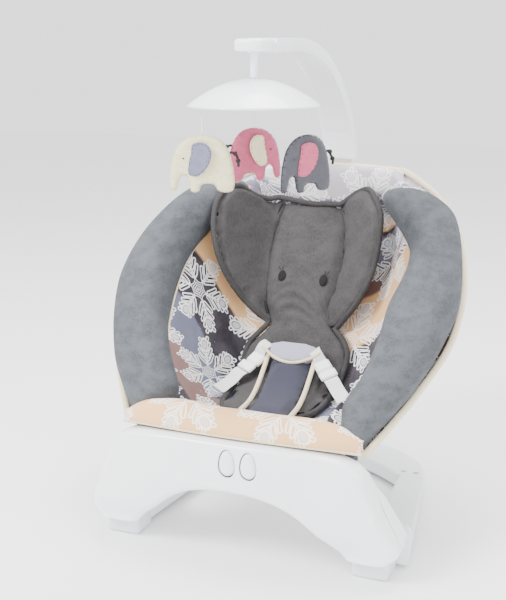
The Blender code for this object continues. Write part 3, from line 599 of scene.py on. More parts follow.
def flake_lines(look, u, v):
    """White line print of round flakes with herringbone arms. Returns (line, filled tips)."""
    u, v = u / PRINT_SCALE, v / PRINT_SCALE
    wide, tall = FLAKE_WIDE, FLAKE_TALL
    wobble = look.noise(55.0, 2.0) - 0.5
    row = (v / tall).math("FLOOR")
    shifted = u + row.math("MODULO", 2.0).math("ABSOLUTE") * (wide / 2) + wobble * 0.004
    x = ((shifted / wide).math("FRACT") - 0.5) * wide
    y = ((v / tall + wobble * 0.03).math("FRACT") - 0.5) * tall
    radius = (x * x + y * y).math("SQRT")
    sector = math.pi / 3
    turned = (y.math("ARCTAN2", x) + 0.35) / sector
    folded = (turned.math("FRACT") - 0.5).math("ABSOLUTE") * sector
    reach = radius * folded.math("COSINE")
    aside = radius * folded.math("SINE")
    # loops that lean outward on both sides of every arm
    lean = math.radians(40)
    forward = reach * math.cos(lean) + aside * math.sin(lean)
    across = reach * math.sin(lean) - aside * math.cos(lean)
    pitch = 0.0056
    number = (across / pitch).math("FLOOR")
    middle = (number + 0.5) * pitch
    start = middle * (math.cos(lean) / math.sin(lean)) + 0.0022
    half_length = (number * -0.62 + 5.4).math("MAXIMUM", 1.6) * 0.0018
    loop = capsule(across - middle, forward - start - half_length, half_length, 0.0019)
    line = loop.math("ABSOLUTE").span(0.00062, 0.00095, 1.0, 0.0)
    line = line * number.span(0.5, 0.6) * number.span(4.5, 4.6, 1.0, 0.0)
    # nested chevrons round the middle
    chevron = ((reach + aside * 0.9) / 0.0034).math("FRACT") - 0.5
    line = line.math("MAXIMUM", chevron.math("ABSOLUTE").span(0.16, 0.26, 1.0, 0.0)
                     * radius.span(0.0105, 0.0110, 1.0, 0.0))
    # a filled rounded tip at the end of every arm
    out = reach - 0.0385
    widening = (out + 0.007) * 0.55
    tip = ((out * out) * 0.55 + aside * aside).math("SQRT") + widening * -0.28
    outline = (tip - 0.0042).math("ABSOLUTE").span(0.00065, 0.00100, 1.0, 0.0)
    heart = tip.span(0.0024, 0.0028, 1.0, 0.0)
    spine = (aside - 0.0009).math("ABSOLUTE").span(0.00050, 0.0008, 1.0, 0.0)
    spine = spine * radius.span(0.0105, 0.0110) * reach.span(0.0320, 0.0330, 1.0, 0.0)
    clear = tip.span(0.0042, 0.0046)
    return (line * clear).math("MAXIMUM", outline).math("MAXIMUM", spine * clear), heart


def printed(name, bands, tilt=0.0, line=(0.95, 0.95, 0.96), strength=0.95):
    """Printed cotton: slanting bands of colour under a line print.

    bands is ((height at the middle, colour), ...); tilt lowers the bands toward the middle.
    """
    look = Look(name)
    u, v = look.cut_map()
    height = v - u.math("ABSOLUTE") * tilt + look.noise(7.0, 2.0) * 0.05 - 0.025
    ground = bands[0][1]
    for start, colour in bands[1:]:
        ground = look.blend(height.span(start - 0.004, start + 0.004), ground, colour)
    wash = look.noise(30.0, 4.0, 0.6)
    ground = look.blend(wash.span(0.3, 0.7) * 0.06, ground, (0.60, 0.57, 0.60))
    lines, hearts = flake_lines(look, u, v)
    ground = look.blend(hearts * 0.75, ground, (0.78, 0.77, 0.84))
    colour = look.blend(lines * strength, ground, line)
    threads = weave_height(u, v, COTTON_PITCH)
    look.colour(look.blend(threads.span(0.2, 0.9) * 0.10, colour, (0.02, 0.02, 0.03)))
    look.surface(roughness=0.78, sheen_weight=0.12, specular_ior_level=0.25)
    look.bump(threads * 0.25 + look.noise(55.0, 4.0) * 2.0, 0.0006, 0.5)
    return look.material


LOOKS = {
    "gloss": plastic("gloss_white", WHITE_PLASTIC, 0.22),
    "button": plastic("button_white", shade(WHITE_PLASTIC, 0.97), 0.2),
    "satin": textured_plastic("satin_white", WHITE_PLASTIC, 0.42),
    "foot": textured_plastic("foot_white", (0.74, 0.77, 0.81), 0.5),
    "rubber": textured_plastic("grip_rubber", (0.10, 0.10, 0.11), 0.8),
    "steel": metal("spring_steel", (0.56, 0.57, 0.60)),
    "brass": metal("weight_brass", (0.60, 0.50, 0.30)),
    "plush": plush("grey_plush", GREY_PLUSH),
    "insert": plush("insert_plush", INSERT_PLUSH, 0.0012, 0.55),
    "roll": plush("edge_roll_plush", shade(INSERT_PLUSH, 0.82), 0.0008, 0.4),
    # painted shade: a much darker copy of the insert plush for the crease between the head and the
    # ears
    "crease": plush("painted_crease_shade_plush", shade(INSERT_PLUSH, 0.35), 0.0006, 0.2),
    "thread": woven("dark_thread", (0.015, 0.015, 0.017), 0.0008, 0.0),
    "cream": woven("cream_piping", CREAM, 0.0012),
    "lining": woven("back_lining", (0.70, 0.68, 0.64), 0.0014),
    "slate": woven("slate_panel", (0.037, 0.038, 0.062), 0.0010),
    "lilac": woven("lilac_fold", (0.40, 0.40, 0.51), 0.0010),
    "webbing": webbing("harness_webbing", (0.88, 0.88, 0.88)),
    "cord": woven("black_cord", (0.03, 0.03, 0.032), 0.0007, 0.0),
    "cream_felt": felt("cream_felt", (0.74, 0.67, 0.44)),
    "grey_felt": felt("grey_felt", (0.075, 0.075, 0.090)),
    "pink_felt": felt("pink_felt", (0.50, 0.10, 0.18)),
    "blue_felt": felt("blue_felt", (0.17, 0.18, 0.26)),
    "blush_felt": felt("blush_felt", (0.72, 0.36, 0.42)),
    "board": textured_plastic("board_green", (0.04, 0.20, 0.10), 0.4),
    "cell": textured_plastic("cell_jacket", (0.22, 0.24, 0.27), 0.35),
    "black": textured_plastic("speaker_black", (0.03, 0.03, 0.035), 0.6),
    "seat_print": printed("printed_seat", (
        (-0.2, CHARCOAL), (0.012, MAUVE), (0.080, SLATE), (0.145, CHARCOAL), (0.245, PEACH),
        (0.33, MAUVE), (0.37, LILAC), (0.46, PALE)), tilt=0.5),
    "top_print": printed("printed_top", ((-1.0, PEACH), (0.016, LILAC), (0.062, PALE)), tilt=0.12),
    "lip_print": printed("printed_lip", ((-1.0, PEACH), (1.0, PEACH)), line=(1.0, 0.99, 0.96)),
}


# ---------------------------------------------------------------- camera, light, floor
LENS, SENSOR_WIDTH, CLIP_START = 66.0, 36.0, 0.05
CAMERA_PLACE = (0.566, -1.521, 0.708)
CAMERA_TILT, CAMERA_TURN = math.radians(76.71), math.radians(22.59)
WORLD_STRENGTH = 1.95
LIGHT_TARGET = Vector((0, 0, 0.3))
LIGHTS = (("key_light", (-1.3, -1.8, 2.1), 1.1, 125),      # name, place, size, power
          ("fill_light", (1.9, -1.4, 1.2), 1.6, 28),
          ("top_light", (0.1, 0.3, 2.4), 1.2, 72))


def make_camera():
    data = bpy.data.cameras.new("camera")
    data.lens = LENS
    data.sensor_width = SENSOR_WIDTH
    data.clip_start = CLIP_START
    camera = link("camera", data)
    camera.location = CAMERA_PLACE
    camera.rotation_euler = (CAMERA_TILT, 0.0, CAMERA_TURN)
    bpy.context.scene.camera = camera


def make_area(name, location, size, power):
    data = bpy.data.lights.new(name, "AREA")
    data.shape = "DISK"
    data.size = size
    data.energy = power
    lamp = link(name, data)
    lamp.location = location
    lamp.rotation_euler = (LIGHT_TARGET - Vector(location)).to_track_quat("-Z", "Y").to_euler()


def make_studio():
    bm = bmesh.new()
    bmesh.ops.create_grid(bm, x_segments=2, y_segments=2, size=6.0)
    floor = link("floor", finish_mesh(bm, "floor"))
    look = Look("floor_paper")
    look.colour(look.blend(look.noise(3.0, 2.0), (0.93, 0.93, 0.935), (0.95, 0.95, 0.95)))
    look.surface(roughness=0.8)
    look.bump(look.noise(200.0, 2.0), 0.0001, 0.3)
    dress(floor, look.material)
    world = bpy.data.worlds.new("studio")
    bpy.context.scene.world = world
    world.use_nodes = True
    background = world.node_tree.nodes["Background"]
    background.inputs["Color"].default_value = (1.0, 1.0, 1.0, 1.0)
    background.inputs["Strength"].default_value = WORLD_STRENGTH
    for light in LIGHTS:
        make_area(*light)


# ---------------------------------------------------------------- hanging toys
def hook_place(which):
    angle = math.radians(HOOK_ANGLES[which])
    return Vector((STEM_X_Y[0] + HOOK_CIRCLE * math.sin(angle),
                   STEM_X_Y[1] - HOOK_CIRCLE * math.cos(angle), DOME_RIM_Z + 0.0005))


def make_string(which):
    top = hook_place(which) - Vector((0, 0, 0.0003))
    points = [top - Vector((0, 0, STRING_LENGTH * i / 20)) for i in range(21)]
    string = tube("hanging_string_" + which, points, STRING_RADIUS, LOOKS["webbing"], resolution=2)
    assign(string, "toy_" + which, "black_cord", "string_" + which)


TOY_POINTS, EAR_POINTS = 112, 60     # round the finished outlines
TOY_OUTLINE = ((-0.0405, -0.0712), (-0.0345, -0.0712), (-0.0315, -0.0630), (-0.0290, -0.0550),
               (-0.0240, -0.0520), (-0.0190, -0.0555), (-0.0172, -0.0650), (-0.0150, -0.0725),
               (-0.0100, -0.0742), (-0.0045, -0.0725), (-0.0025, -0.0665), (0.0020, -0.0632),
               (0.0100, -0.0628), (0.0165, -0.0650), (0.0205, -0.0715), (0.0290, -0.0742),
               (0.0385, -0.0725), (0.0418, -0.0650), (0.0415, -0.0510), (0.0388, -0.0350),
               (0.0345, -0.0205), (0.0265, -0.0085), (0.0150, -0.0015), (0.0010, 0.0005),
               (-0.0135, -0.0015), (-0.0255, -0.0080), (-0.0345, -0.0190), (-0.0395, -0.0335),
               (-0.0422, -0.0510), (-0.0430, -0.0655))
EAR_OUTLINE = ((-0.0125, -0.0115), (-0.0010, -0.0088), (0.0080, -0.0120), (0.0125, -0.0205),
               (0.0120, -0.0295), (0.0070, -0.0410), (-0.0030, -0.0515), (-0.0120, -0.0530),
               (-0.0182, -0.0495), (-0.0175, -0.0360), (-0.0145, -0.0230))


def closed_smooth(points, count):
    """Evenly numbered points on a smooth closed line."""
    size = len(points)
    result = []
    for step in range(count):
        at = size * step / count
        i, t = int(at), at - int(at)
        p0, p1, p2, p3 = (Vector(points[(i + k) % size]) for k in (-1, 0, 1, 2))
        result.append(0.5 * ((2 * p1) + (p2 - p0) * t + (2 * p0 - 5 * p1 + 4 * p2 - p3) * t * t
                             + (3 * p1 - p0 - 3 * p2 + p3) * t ** 3))
    return result


def edge_distance(point, outline):
    best = 1.0
    for a, b in zip(outline, outline[1:] + outline[:1]):
        side = b - a
        t = min(max((point - a).dot(side) / side.length_squared, 0.0), 1.0)
        best = min(best, (point - (a + side * t)).length)
    return best


def stuffed_shape(name, outline, thickness, edge, voxel):
    """Flat stuffed piece: a fine slab whose faces swell away from its edge."""
    curve = bpy.data.curves.new(name, "CURVE")
    curve.dimensions = "2D"
    curve.fill_mode = "BOTH"
    curve.extrude = edge / 2
    spline = curve.splines.new("POLY")
    spline.points.add(len(outline) - 1)
    for index, point in enumerate(outline):
        spline.points[index].co = (point.x, point.y, 0.0, 1.0)
    spline.use_cyclic_u = True
    item = link(name, curve)
    bpy.context.view_layer.update()
    depsgraph = bpy.context.evaluated_depsgraph_get()
    mesh = bpy.data.meshes.new_from_object(item.evaluated_get(depsgraph))
    bpy.data.objects.remove(item, do_unlink=True)
    solid = link(name, mesh)
    modifier(solid, "REMESH", mode="VOXEL", voxel_size=voxel, use_smooth_shade=True)
    apply_modifiers(solid)
    coarse = outline[::3]
    for vertex in solid.data.vertices:
        inside = edge_distance(vertex.co.xy, coarse)
        share = min(inside / 0.010, 1.0)
        swell = (thickness - edge) / 2 * math.sqrt(1.0 - (1.0 - share) ** 2)
        vertex.co.z += math.copysign(swell, vertex.co.z) if abs(vertex.co.z) > edge * 0.3 else 0.0
    modifier(solid, "SMOOTH", factor=0.5, iterations=2)
    return apply_modifiers(solid)


def make_toy(which, body_look, ear_look, thread_look):
    """A felt elephant: stuffed body, sewn-on ear, edge stitching, eye and knotted tail."""
    body = "toy_" + which
    face = TOY_FACES[which]
    foot = hook_place(which) - Vector((0, 0, 0.0003 + STRING_LENGTH + 0.0030))
    turn = (Matrix.Translation(foot) @ Matrix.Rotation(math.radians(TOY_YAW[which]), 4, "Z")
            @ Matrix.Rotation(math.pi / 2, 4, "X") @ Matrix.Diagonal((face, 1, 1, 1)))

    def settle(item, *nodes, fill=None):
        item.data.transform(turn)
        if face < 0 and item.type == "MESH":
            item.data.flip_normals()
        return assign(item, body, slot, *nodes, fill=fill)

    slot = {"left": "cream_felt", "centre": "pink_felt", "right": "grey_felt"}[which]
    outline = closed_smooth(TOY_OUTLINE, TOY_POINTS)
    shape = dress(stuffed_shape("felt_elephant_" + which, outline, 0.0095, 0.0030, 0.0016),
                  LOOKS[body_look])
    settle(shape, body, fill=0.5)
    ear_line = closed_smooth(EAR_OUTLINE, EAR_POINTS)
    ear = dress(stuffed_shape("felt_ear_" + which, ear_line, 0.0026, 0.0014, 0.0010),
                LOOKS[ear_look])
    for vertex in ear.data.vertices:
        vertex.co.z += 0.0056 + 0.0050 * ease((vertex.co.x + 0.017) / 0.030)
    settle(ear)

    centre = Vector((0.0, -0.034))
    runs = []
    for edge in outline[::2]:
        inner = edge + (centre - edge).normalized() * 0.0020
        runs.append([Vector((edge.x, edge.y, 0.0)), Vector((edge.x, edge.y, 0.0020)),
                     Vector((inner.x, inner.y, 0.0034))])
    for a, b in zip(outline, outline[1:] + outline[:1]):
        runs.append([Vector((a.x, a.y, 0.0006)), Vector((b.x, b.y, 0.0006))])
    settle(stitches("edge_stitches_" + which, runs, 0.00032, LOOKS[thread_look]))
    middle = Vector((0.0, -0.022))
    inner_line = [p + (middle - p).normalized() * 0.0018 for p in ear_line]
    runs = []
    for i in range(0, EAR_POINTS, 3):
        run = [inner_line[i], inner_line[(i + 1) % EAR_POINTS]]
        runs.append([Vector((p.x, p.y, 0.0070 + 0.0050 * ease((p.x + 0.017) / 0.030)))
                     for p in run])
    settle(stitches("ear_stitches_" + which, runs, 0.00028, LOOKS["thread"]))

    bm = bmesh.new()
    bmesh.ops.create_uvsphere(bm, u_segments=16, v_segments=10, radius=0.0012)
    eye = dress(link("toy_eye_" + which, finish_mesh(bm, "toy_eye_" + which)), LOOKS["black"])
    eye.data.transform(Matrix.Translation((-0.0245, -0.0300, 0.0048)))
    settle(eye)

    tail = [Vector((0.0365 + 0.0085 * math.sin(1.9 * t) + 0.0025 * t,
                    -0.0225 - 0.0150 * t + 0.004 * math.sin(4 * t), 0.0015 * math.sin(9 * t)))
            for t in spread(0, 1, 18)]
    radii = [1.0 + (0.9 if i in (6, 7, 13, 14) else 0.0) for i in range(19)]
    settle(tube("toy_tail_" + which, tail, 0.0017, LOOKS["cord"], radii=radii, resolution=3))


def make_toys():
    for which, looks in (("left", ("cream_felt", "blue_felt", "cream_felt")),
                         ("centre", ("pink_felt", "cream_felt", "blush_felt")),
                         ("right", ("grey_felt", "pink_felt", "thread"))):
        make_toy(which, *looks)


# ---------------------------------------------------------------- base plastics
def arch_bow(x, z):
    low = 1.0 - ease((z - 0.030) / 0.060)
    return ARCH_BOW * (abs(x) / 0.22) ** 2.5 + 0.010 * low


def arch_stations(half_count):
    half = [(*along(ARCH_OUTER, i / half_count), *along(ARCH_INNER, i / half_count))
            for i in range(half_count + 1)]
    return [(-a, b, -c, d) for a, b, c, d in half] + half[-2::-1]


def arch_section(outer, inner, face, seam):
    """Open section of the front cover, from the outer seam edge over the face to the inner one."""
    rounding, bulge = 0.012, 0.0015
    inward = (inner - outer).normalized()
    width = (inner - outer).length
    edge = face + rounding
    points = [(0.0, seam + (edge - seam) * part / 4) for part in range(4)]
    for step in range(8):
        angle = math.pi / 2 * step / 7
        points.append((rounding * (1 - math.cos(angle)), face + rounding * (1 - math.sin(angle))))
    points += [(width * share, face - bulge * math.sin(math.pi * share))
               for share in (0.3, 0.4, 0.5, 0.6, 0.7)]
    points += [(width - across, y) for across, y in reversed(points[:12])]
    result = []
    for across, y in points:
        flat = outer + inward * across
        result.append(Vector((flat.x, y, flat.y)))
    return result


def arch_cover():
    rows = []
    for outer_x, outer_z, inner_x, inner_z in arch_stations(44):
        bow = arch_bow((outer_x + inner_x) / 2, (outer_z + inner_z) / 2)
        seam = ARCH_FRONT_Y + ARCH_COVER_DEPTH + 0.55 * bow
        rows.append(arch_section(Vector((outer_x, outer_z)), Vector((inner_x, inner_z)),
                                 ARCH_FRONT_Y + bow, seam))
    item = dress(grid("arch_front", rows, closing=(0, -1)), LOOKS["gloss"])
    modifier(item, "SOLIDIFY", thickness=0.0025, offset=-1.0, use_even_offset=True)
    return apply_modifiers(item)


def foot_outline(scale=1.0):
    points = []
    for angle in full_turn(56):
        widen = 1.0 + 0.16 * ease((0.35 - math.sin(angle)) / 1.2)
        points.append((0.0112 * math.cos(angle) * widen * scale, 0.0185 * math.sin(angle) * scale))
    return points


def make_button(side):
    """Domed foot-shaped button with a crease over its sole."""
    rings = []
    heights = [(1.0, 0.012)] + [(math.cos(a), -0.0085 * math.sin(a) + 0.0070)
                                for a in [math.pi / 2 * k / 12 for k in range(12)]]
    for share, depth in heights:
        ring = []
        for x, z in foot_outline(max(share, 0.12) ** 0.55):
            crease = 0.0011 * math.exp(-((z + 0.0065) / 0.0018) ** 2) * (1 - share)
            sole = -0.0009 * ease((-0.0065 - z) / 0.004) * (1 - share)
            ring.append(Vector((BUTTON_X[side] + x, BUTTON_FRONT_Y + 0.0012 + depth + crease + sole,
                                BUTTON_Z + z)))
        rings.append(ring)
    button = dress(loft("foot_button_" + side, rings), LOOKS["button"])
    modifier(button, "SUBSURF", levels=1, render_levels=1)
    apply_modifiers(button)
    assign(button, side + "_button", "button_white", side + "_button")


def cut_hole(item, outline, y, depth):
    """Cut an upright hole of a flat outline through a cover."""
    rings = [[(x, level, z) for x, z in outline] for level in (y - depth, y + depth)]
    subtract(item, loft("hole_cutter", rings))


def make_arch():
    """Front half of the arch with the two button holes; its back half is the CAD cover."""
    front = arch_cover()
    for side in BUTTON_X:
        outline = [(BUTTON_X[side] + x, BUTTON_Z + z) for x, z in foot_outline(1.075)]
        cut_hole(front, outline, ARCH_FRONT_Y, 0.012)
    front.data.set_sharp_from_angle(angle=math.radians(38))
    assign(front, "base", "gloss_white", "front_cover")


def rounded_ring(corners, radius, steps=4):
    """Points around a convex outline with rounded corners."""
    result = []
    size = len(corners)
    for i in range(size):
        here, before, after = (Vector(corners[k % size]) for k in (i, i - 1, i + 1))
        start = here + (before - here).normalized() * radius
        end = here + (after - here).normalized() * radius
        for step in range(steps + 1):
            t = step / steps
            result.append(start * (1 - t) ** 2 + here * 2 * t * (1 - t) + end * t ** 2)
    return result


BASE_EDGE = 0.005          # rounding of the arms' and the bar's edges


def make_side_arm(side, sign):
    """Flat arm with rounded edges and a raised end behind the leg."""
    rings = []
    for fraction in spread(0, 1, 32):
        y = mix(ARM_FRONT_Y, ARM_REAR_Y, fraction)
        distance = y - ARM_FRONT_Y
        outer, inner = 0.231 - 0.168 * distance, 0.166 - 0.073 * distance
        top = ARM_TOP_Z + 0.034 * (1.0 - ease(distance / 0.075))
        ring = rounded_ring([(inner, ARM_BOTTOM_Z), (outer, ARM_BOTTOM_Z), (outer, top - 0.003),
                             (inner, top)], BASE_EDGE)
        rings.append([Vector((sign * p.x, y, p.y)) for p in ring])
    arm = dress(loft("base_arm_" + side, rings), LOOKS["satin"])
    arm.data.set_sharp_from_angle(angle=math.radians(50))
    assign(arm, "base", "satin_white", "side_arm_" + side)


BAR_OUTER = ((0.1875, ARM_REAR_Y + 0.0006), (0.182, 0.122), (0.165, 0.163), (0.131, 0.198),
             (0.086, 0.225), (0.045, 0.240), (0.0, 0.247))
BAR_INNER = ((0.147, ARM_REAR_Y + 0.0006), (0.141, 0.100), (0.118, 0.120), (0.085, 0.143),
             (0.045, 0.162), (0.0, 0.170))


def make_rear_bar():
    """Curved flat bar with rounded edges and four screw holes in its top."""
    half = [(along(BAR_OUTER, fraction), along(BAR_INNER, fraction))
            for fraction in spread(0, 1, 40)]
    pairs = half + [(Vector((-a.x, a.y)), Vector((-b.x, b.y))) for a, b in half[-2::-1]]
    rings = []
    for outer, inner in pairs:
        across = outer - inner
        width = across.length
        across = across.normalized()
        section = rounded_ring([(0.0, ARM_BOTTOM_Z), (width, ARM_BOTTOM_Z),
                                (width, ARM_TOP_Z - 0.002), (0.0, ARM_TOP_Z)], BASE_EDGE)
        rings.append([Vector((*(inner + across * p.x), p.y)) for p in section])
    bar = dress(loft("base_rear_bar", rings), LOOKS["satin"])
    for sign in (-1, 1):
        for x, y in ((0.150, 0.112), (0.170, 0.115)):
            cut_round(bar, sign * x, y)
    bar.data.set_sharp_from_angle(angle=math.radians(50))
    assign(bar, "base", "satin_white", "rear_bar")


SCREW_HOLE = 0.0045


def cut_round(item, x, y):
    """Sink a screw hole into the base's top."""
    bm = bmesh.new()
    bmesh.ops.create_cone(bm, cap_ends=True, segments=32, radius1=SCREW_HOLE, radius2=SCREW_HOLE,
                          depth=0.008)
    cutter = link("screw_cutter", finish_mesh(bm, "screw_cutter"))
    cutter.location = (x, y, ARM_TOP_Z)
    subtract(item, cutter)


def make_base():
    make_arch()
    for side, sign in SIDES:
        make_button(side)
        make_side_arm(side, sign)
    make_rear_bar()


# ---------------------------------------------------------------- mobile plastics
def make_dome():
    profile = [(DOME_RADIUS * (1 - i / 24), DOME_RIM_Z + DOME_RISE * (1 - (1 - i / 24) ** 2))
               for i in range(25)]
    inside = [(max(r - 0.0024, 0.0), z - 0.0022) for r, z in profile]
    inside[0] = (DOME_RADIUS - 0.0024, DOME_RIM_Z)
    path = inside[::-1] + [(DOME_RADIUS - 0.0012, DOME_RIM_Z - 0.0006)] + profile
    rings = []
    for angle in full_turn(96):
        rings.append([Vector((STEM_X_Y[0] + r * math.cos(angle),
                              STEM_X_Y[1] + r * math.sin(angle), z)) for r, z in path])
    bm = bmesh.new()
    rows = [[bm.verts.new(p) for p in ring] for ring in rings]
    for low, high in zip(rows, rows[1:] + rows[:1]):
        for i in range(len(path) - 1):
            bm.faces.new((low[i], low[i + 1], high[i + 1], high[i]))
    bmesh.ops.remove_doubles(bm, verts=bm.verts, dist=0.00002)
    dome = dress(link("mobile_dome", finish_mesh(bm, "mobile_dome")), LOOKS["gloss"])
    assign(dome, "mobile", "gloss_white", "dome")


def arm_frame(fraction):
    """Point and outward direction on the arm's path in the middle plane."""
    y, z = along(ARM_PATH, fraction)
    ahead = along(ARM_PATH, min(fraction + 0.01, 1))
    behind = along(ARM_PATH, max(fraction - 0.01, 0))
    tangent = (ahead - behind).normalized()
    return Vector((0, y, z)), Vector((0, tangent.y, -tangent.x))


def make_mobile_arm():
    """Bent arm with a hollow-looking inner face between two side rims."""
    rings = []
    depth = ARM_HALF_DEPTH
    for fraction in spread(0, 1, 80):
        centre, out = arm_frame(fraction)
        half = 0.026 * (1.0 - 0.18 * ease(fraction * 1.2))
        recess = 0.0022 * ease((fraction - 0.02) / 0.03) * ease((0.97 - fraction) / 0.04)
        section = [(-half, -depth), (-half, depth), (-half + 0.004, depth),
                   (-half + 0.006, depth - recess), (half - 0.006, depth - recess),
                   (half - 0.004, depth), (half, depth), (half, -depth)]
        rings.append([Vector((x, 0, 0)) + centre + out * n
                      for x, n in rounded_ring(section, 0.0012, 2)])
    arm = dress(loft("mobile_arm_shell", rings), LOOKS["gloss"])
    arm.data.set_sharp_from_angle(angle=math.radians(40))
    assign(arm, "mobile_arm", "gloss_white", "mobile_arm")
    for index in range(5):
        centre, out = arm_frame(0.10 + 0.022 * index)
        points = [centre + out * 0.0046 + Vector((x, 0, 0))
                  for x in (-0.013, -0.006, 0.0, 0.006, 0.013)]
        rib = tube("grip_rib_%d" % (index + 1), points, 0.0012, LOOKS["gloss"], resolution=3)
        assign(rib, "mobile_arm", "gloss_white")


def make_arm_head():
    """Rounded flat housing over the stem, blended into the arm's end."""
    x, y = STEM_X_Y
    levels = [(0.0, 0.92), (0.0012, 0.97), (0.0035, 1.0), (0.0115, 1.0), (0.0140, 0.965),
              (0.0155, 0.90), (HEAD_HEIGHT, 0.80)]
    rings = []
    for lift, scale in levels:
        ring = []
        for angle in full_turn(72):
            c, s = math.cos(angle), math.sin(angle)
            ring.append(Vector((x + math.copysign(abs(c) ** 0.62, c) * 0.0235 * scale,
                                y + 0.001 + math.copysign(abs(s) ** 0.62, s) * 0.026 * scale,
                                HEAD_TOP_Z - HEAD_HEIGHT + lift)))
        rings.append(ring)
    head = dress(loft("mobile_arm_head", rings), LOOKS["gloss"])
    head.data.set_sharp_from_angle(angle=math.radians(50))
    assign(head, "mobile_arm", "gloss_white", "arm_head")


# ---------------------------------------------------------------- seat cloth
def ripple(x, s, size, seed):
    """Soft unevenness of cloth, in units of size."""
    return size * noise.noise(Vector((x * 16.0 + seed, s * 16.0, seed * 0.37)))


def make_bucket():
    """Printed bucket from hem to hem, with a plain lining on its outside."""
    rows = []
    for s in spread(0.004, RIM_LENGTH - 0.006, 70):
        hem, seam = hem_half_width(s) - 0.004, smooth(BOLSTER_INNER_X, s)
        row = []
        for a in spread(-1, 2, 92):
            if abs(a) < 0.8:
                x = seam * math.sin(math.pi / 2 * a / 0.8)
                n = cloth_n(s, x) + ripple(x, s, 0.0045, 3.0) * (1 - abs(a / 0.8) ** 6)
            else:
                part = (abs(a) - 0.8) / 0.2
                x = math.copysign(mix(seam, hem, part), a)
                n = mix(0.002, -0.003, part) - 0.006 * math.sin(math.pi * part)
            n = mix(n, -0.003, ease((s - 0.480) / 0.032))
            row.append(seat_point(x + sideways(s), s, n))
        rows.append(row)
    bucket = dress(grid("seat_bucket", rows), LOOKS["seat_print"])
    bucket.data.materials.append(LOOKS["lining"])
    back_up(bucket, 0.0095, material_offset=1, material_offset_rim=1)
    apply_modifiers(bucket)
    assign(bucket, "seat", "printed_fabric", "seat_shell")


def rim_loop(count, lift=0.0, inset=0.0):
    """Closed line round the hem."""
    side = [(hem_half_width(s) - inset, s) for s in spread(0.0, RIM_LENGTH, count - 1)]
    right = [seat_point(x + sideways(s), s, lift) for x, s in side]
    left = [seat_point(-x + sideways(s), s, lift) for x, s in reversed(side)]
    top_x = hem_half_width(RIM_LENGTH) - inset
    top = [seat_point(top_x * (1 - 2 * t) + CLOTH_SHIFT,
                      RIM_LENGTH + 0.0065 * math.sin(math.pi * t), lift)
           for t in [k / 16 for k in range(1, 16)]]
    front_x = hem_half_width(0.0) - inset
    front = [seat_point(-front_x * (1 - 2 * t), 0.0, lift)
             for t in [k / 24 for k in range(1, 24)]]
    return right + top + left + front


def make_hem():
    hem = tube("hem_piping", rim_loop(70), 0.0050, LOOKS["cream"], cyclic=True, resolution=5)
    assign(hem, "seat", "peach_fabric", "rim_tube_left", "rim_tube_right")
    line = rim_loop(70, 0.0047, 0.0012)
    thread = stitches("hem_stitches", stitch_line(line + line[:1], 0.006, 0.6), 0.0004,
                      LOOKS["webbing"])
    assign(thread, "seat", "peach_fabric")


BOLSTER_HEIGHT = ((-0.022, 0.014), (-0.010, 0.020), (0.03, 0.030), (0.08, 0.034),
                  (0.14, 0.039), (0.25, 0.042), (0.36, 0.040), (0.42, 0.035), (0.45, 0.028),
                  (0.466, 0.015))
BOLSTER_MIDDLE_N = ((-0.022, -0.004), (0.02, 0.006), (0.08, 0.018), (0.20, 0.029),
                    (0.36, 0.027), (0.42, 0.021), (0.466, 0.012))
BOLSTER_OUTSET = {-1: 0.002, 1: 0.004}     # outer flank from the hem's middle line
BOLSTER_START = {-1: -0.010, 1: -0.024}
BOLSTER_SHIFT = {-1: 0.0, 1: 0.026}         # inner flank near the front
BOLSTER_TUCK = {-1: 0.004, 1: 0.024}        # inner flank near the head end


def bolster_inner(sign, s):
    shift = BOLSTER_SHIFT[sign] * ease(s / 0.04) * (1 - ease((s - 0.08) / 0.14))
    return smooth(BOLSTER_INNER_X, s) + shift - BOLSTER_TUCK[sign] * ease((s - 0.31) / 0.14)


def make_bolster(side, sign):
    """Fat plush crescent, sewn to the bucket inside and hanging to the hem outside."""
    rings = []
    for part in spread(0, 1, 54):
        s = mix(BOLSTER_START[sign], 0.466, part)
        inner = bolster_inner(sign, s) - 0.013 * ease(s / 0.1)
        outer = hem_half_width(max(s, 0.0)) + BOLSTER_OUTSET[sign] * ease(s / 0.10) - 0.001
        outer -= 0.75 * BOLSTER_TUCK[sign] * ease((s - 0.40) / 0.06)
        blunt = math.sqrt(max(1.0 - (max(part - 0.93, 0.0) / 0.07) ** 2, 0.0)) * 0.85 + 0.15
        blunt *= mix(0.45, 1.0, ease((s - BOLSTER_START[sign]) / 0.035))
        centre_x, half = (inner + outer) / 2, (outer - inner) / 2 * blunt
        height, centre_n = smooth(BOLSTER_HEIGHT, s) * blunt, smooth(BOLSTER_MIDDLE_N, s)
        ring = []
        for angle in full_turn(44):
            c, d = math.cos(angle), math.sin(angle)
            wave = 1.0 + ripple(c * 0.05, s, 0.06, 5.0 + sign)
            x = centre_x + half * wave * math.copysign(abs(c) ** 0.85, c)
            n = centre_n + height * wave * math.copysign(abs(d) ** 0.9, d)
            n = max(n, mix(-0.0015, -0.012, ease(-s / 0.015)))
            ring.append(seat_point(sign * x + sideways(s), s, n))
        rings.append(ring)
    bolster = dress(loft("plush_bolster_" + side, rings), LOOKS["plush"])
    plump(bolster, 0.006, 4.0, 0.0055)
    assign(bolster, "seat", "grey_plush", "bolster_" + side, fill=0.8)
    line = [seat_point(sign * (bolster_inner(sign, s) - 0.001) + sideways(s), s, 0.0045)
            for s in spread(0.03, 0.425, 60)]
    seam = tube("bolster_seam_" + side, line, 0.0016, LOOKS["cream"], resolution=3)
    assign(seam, "seat", "grey_plush")


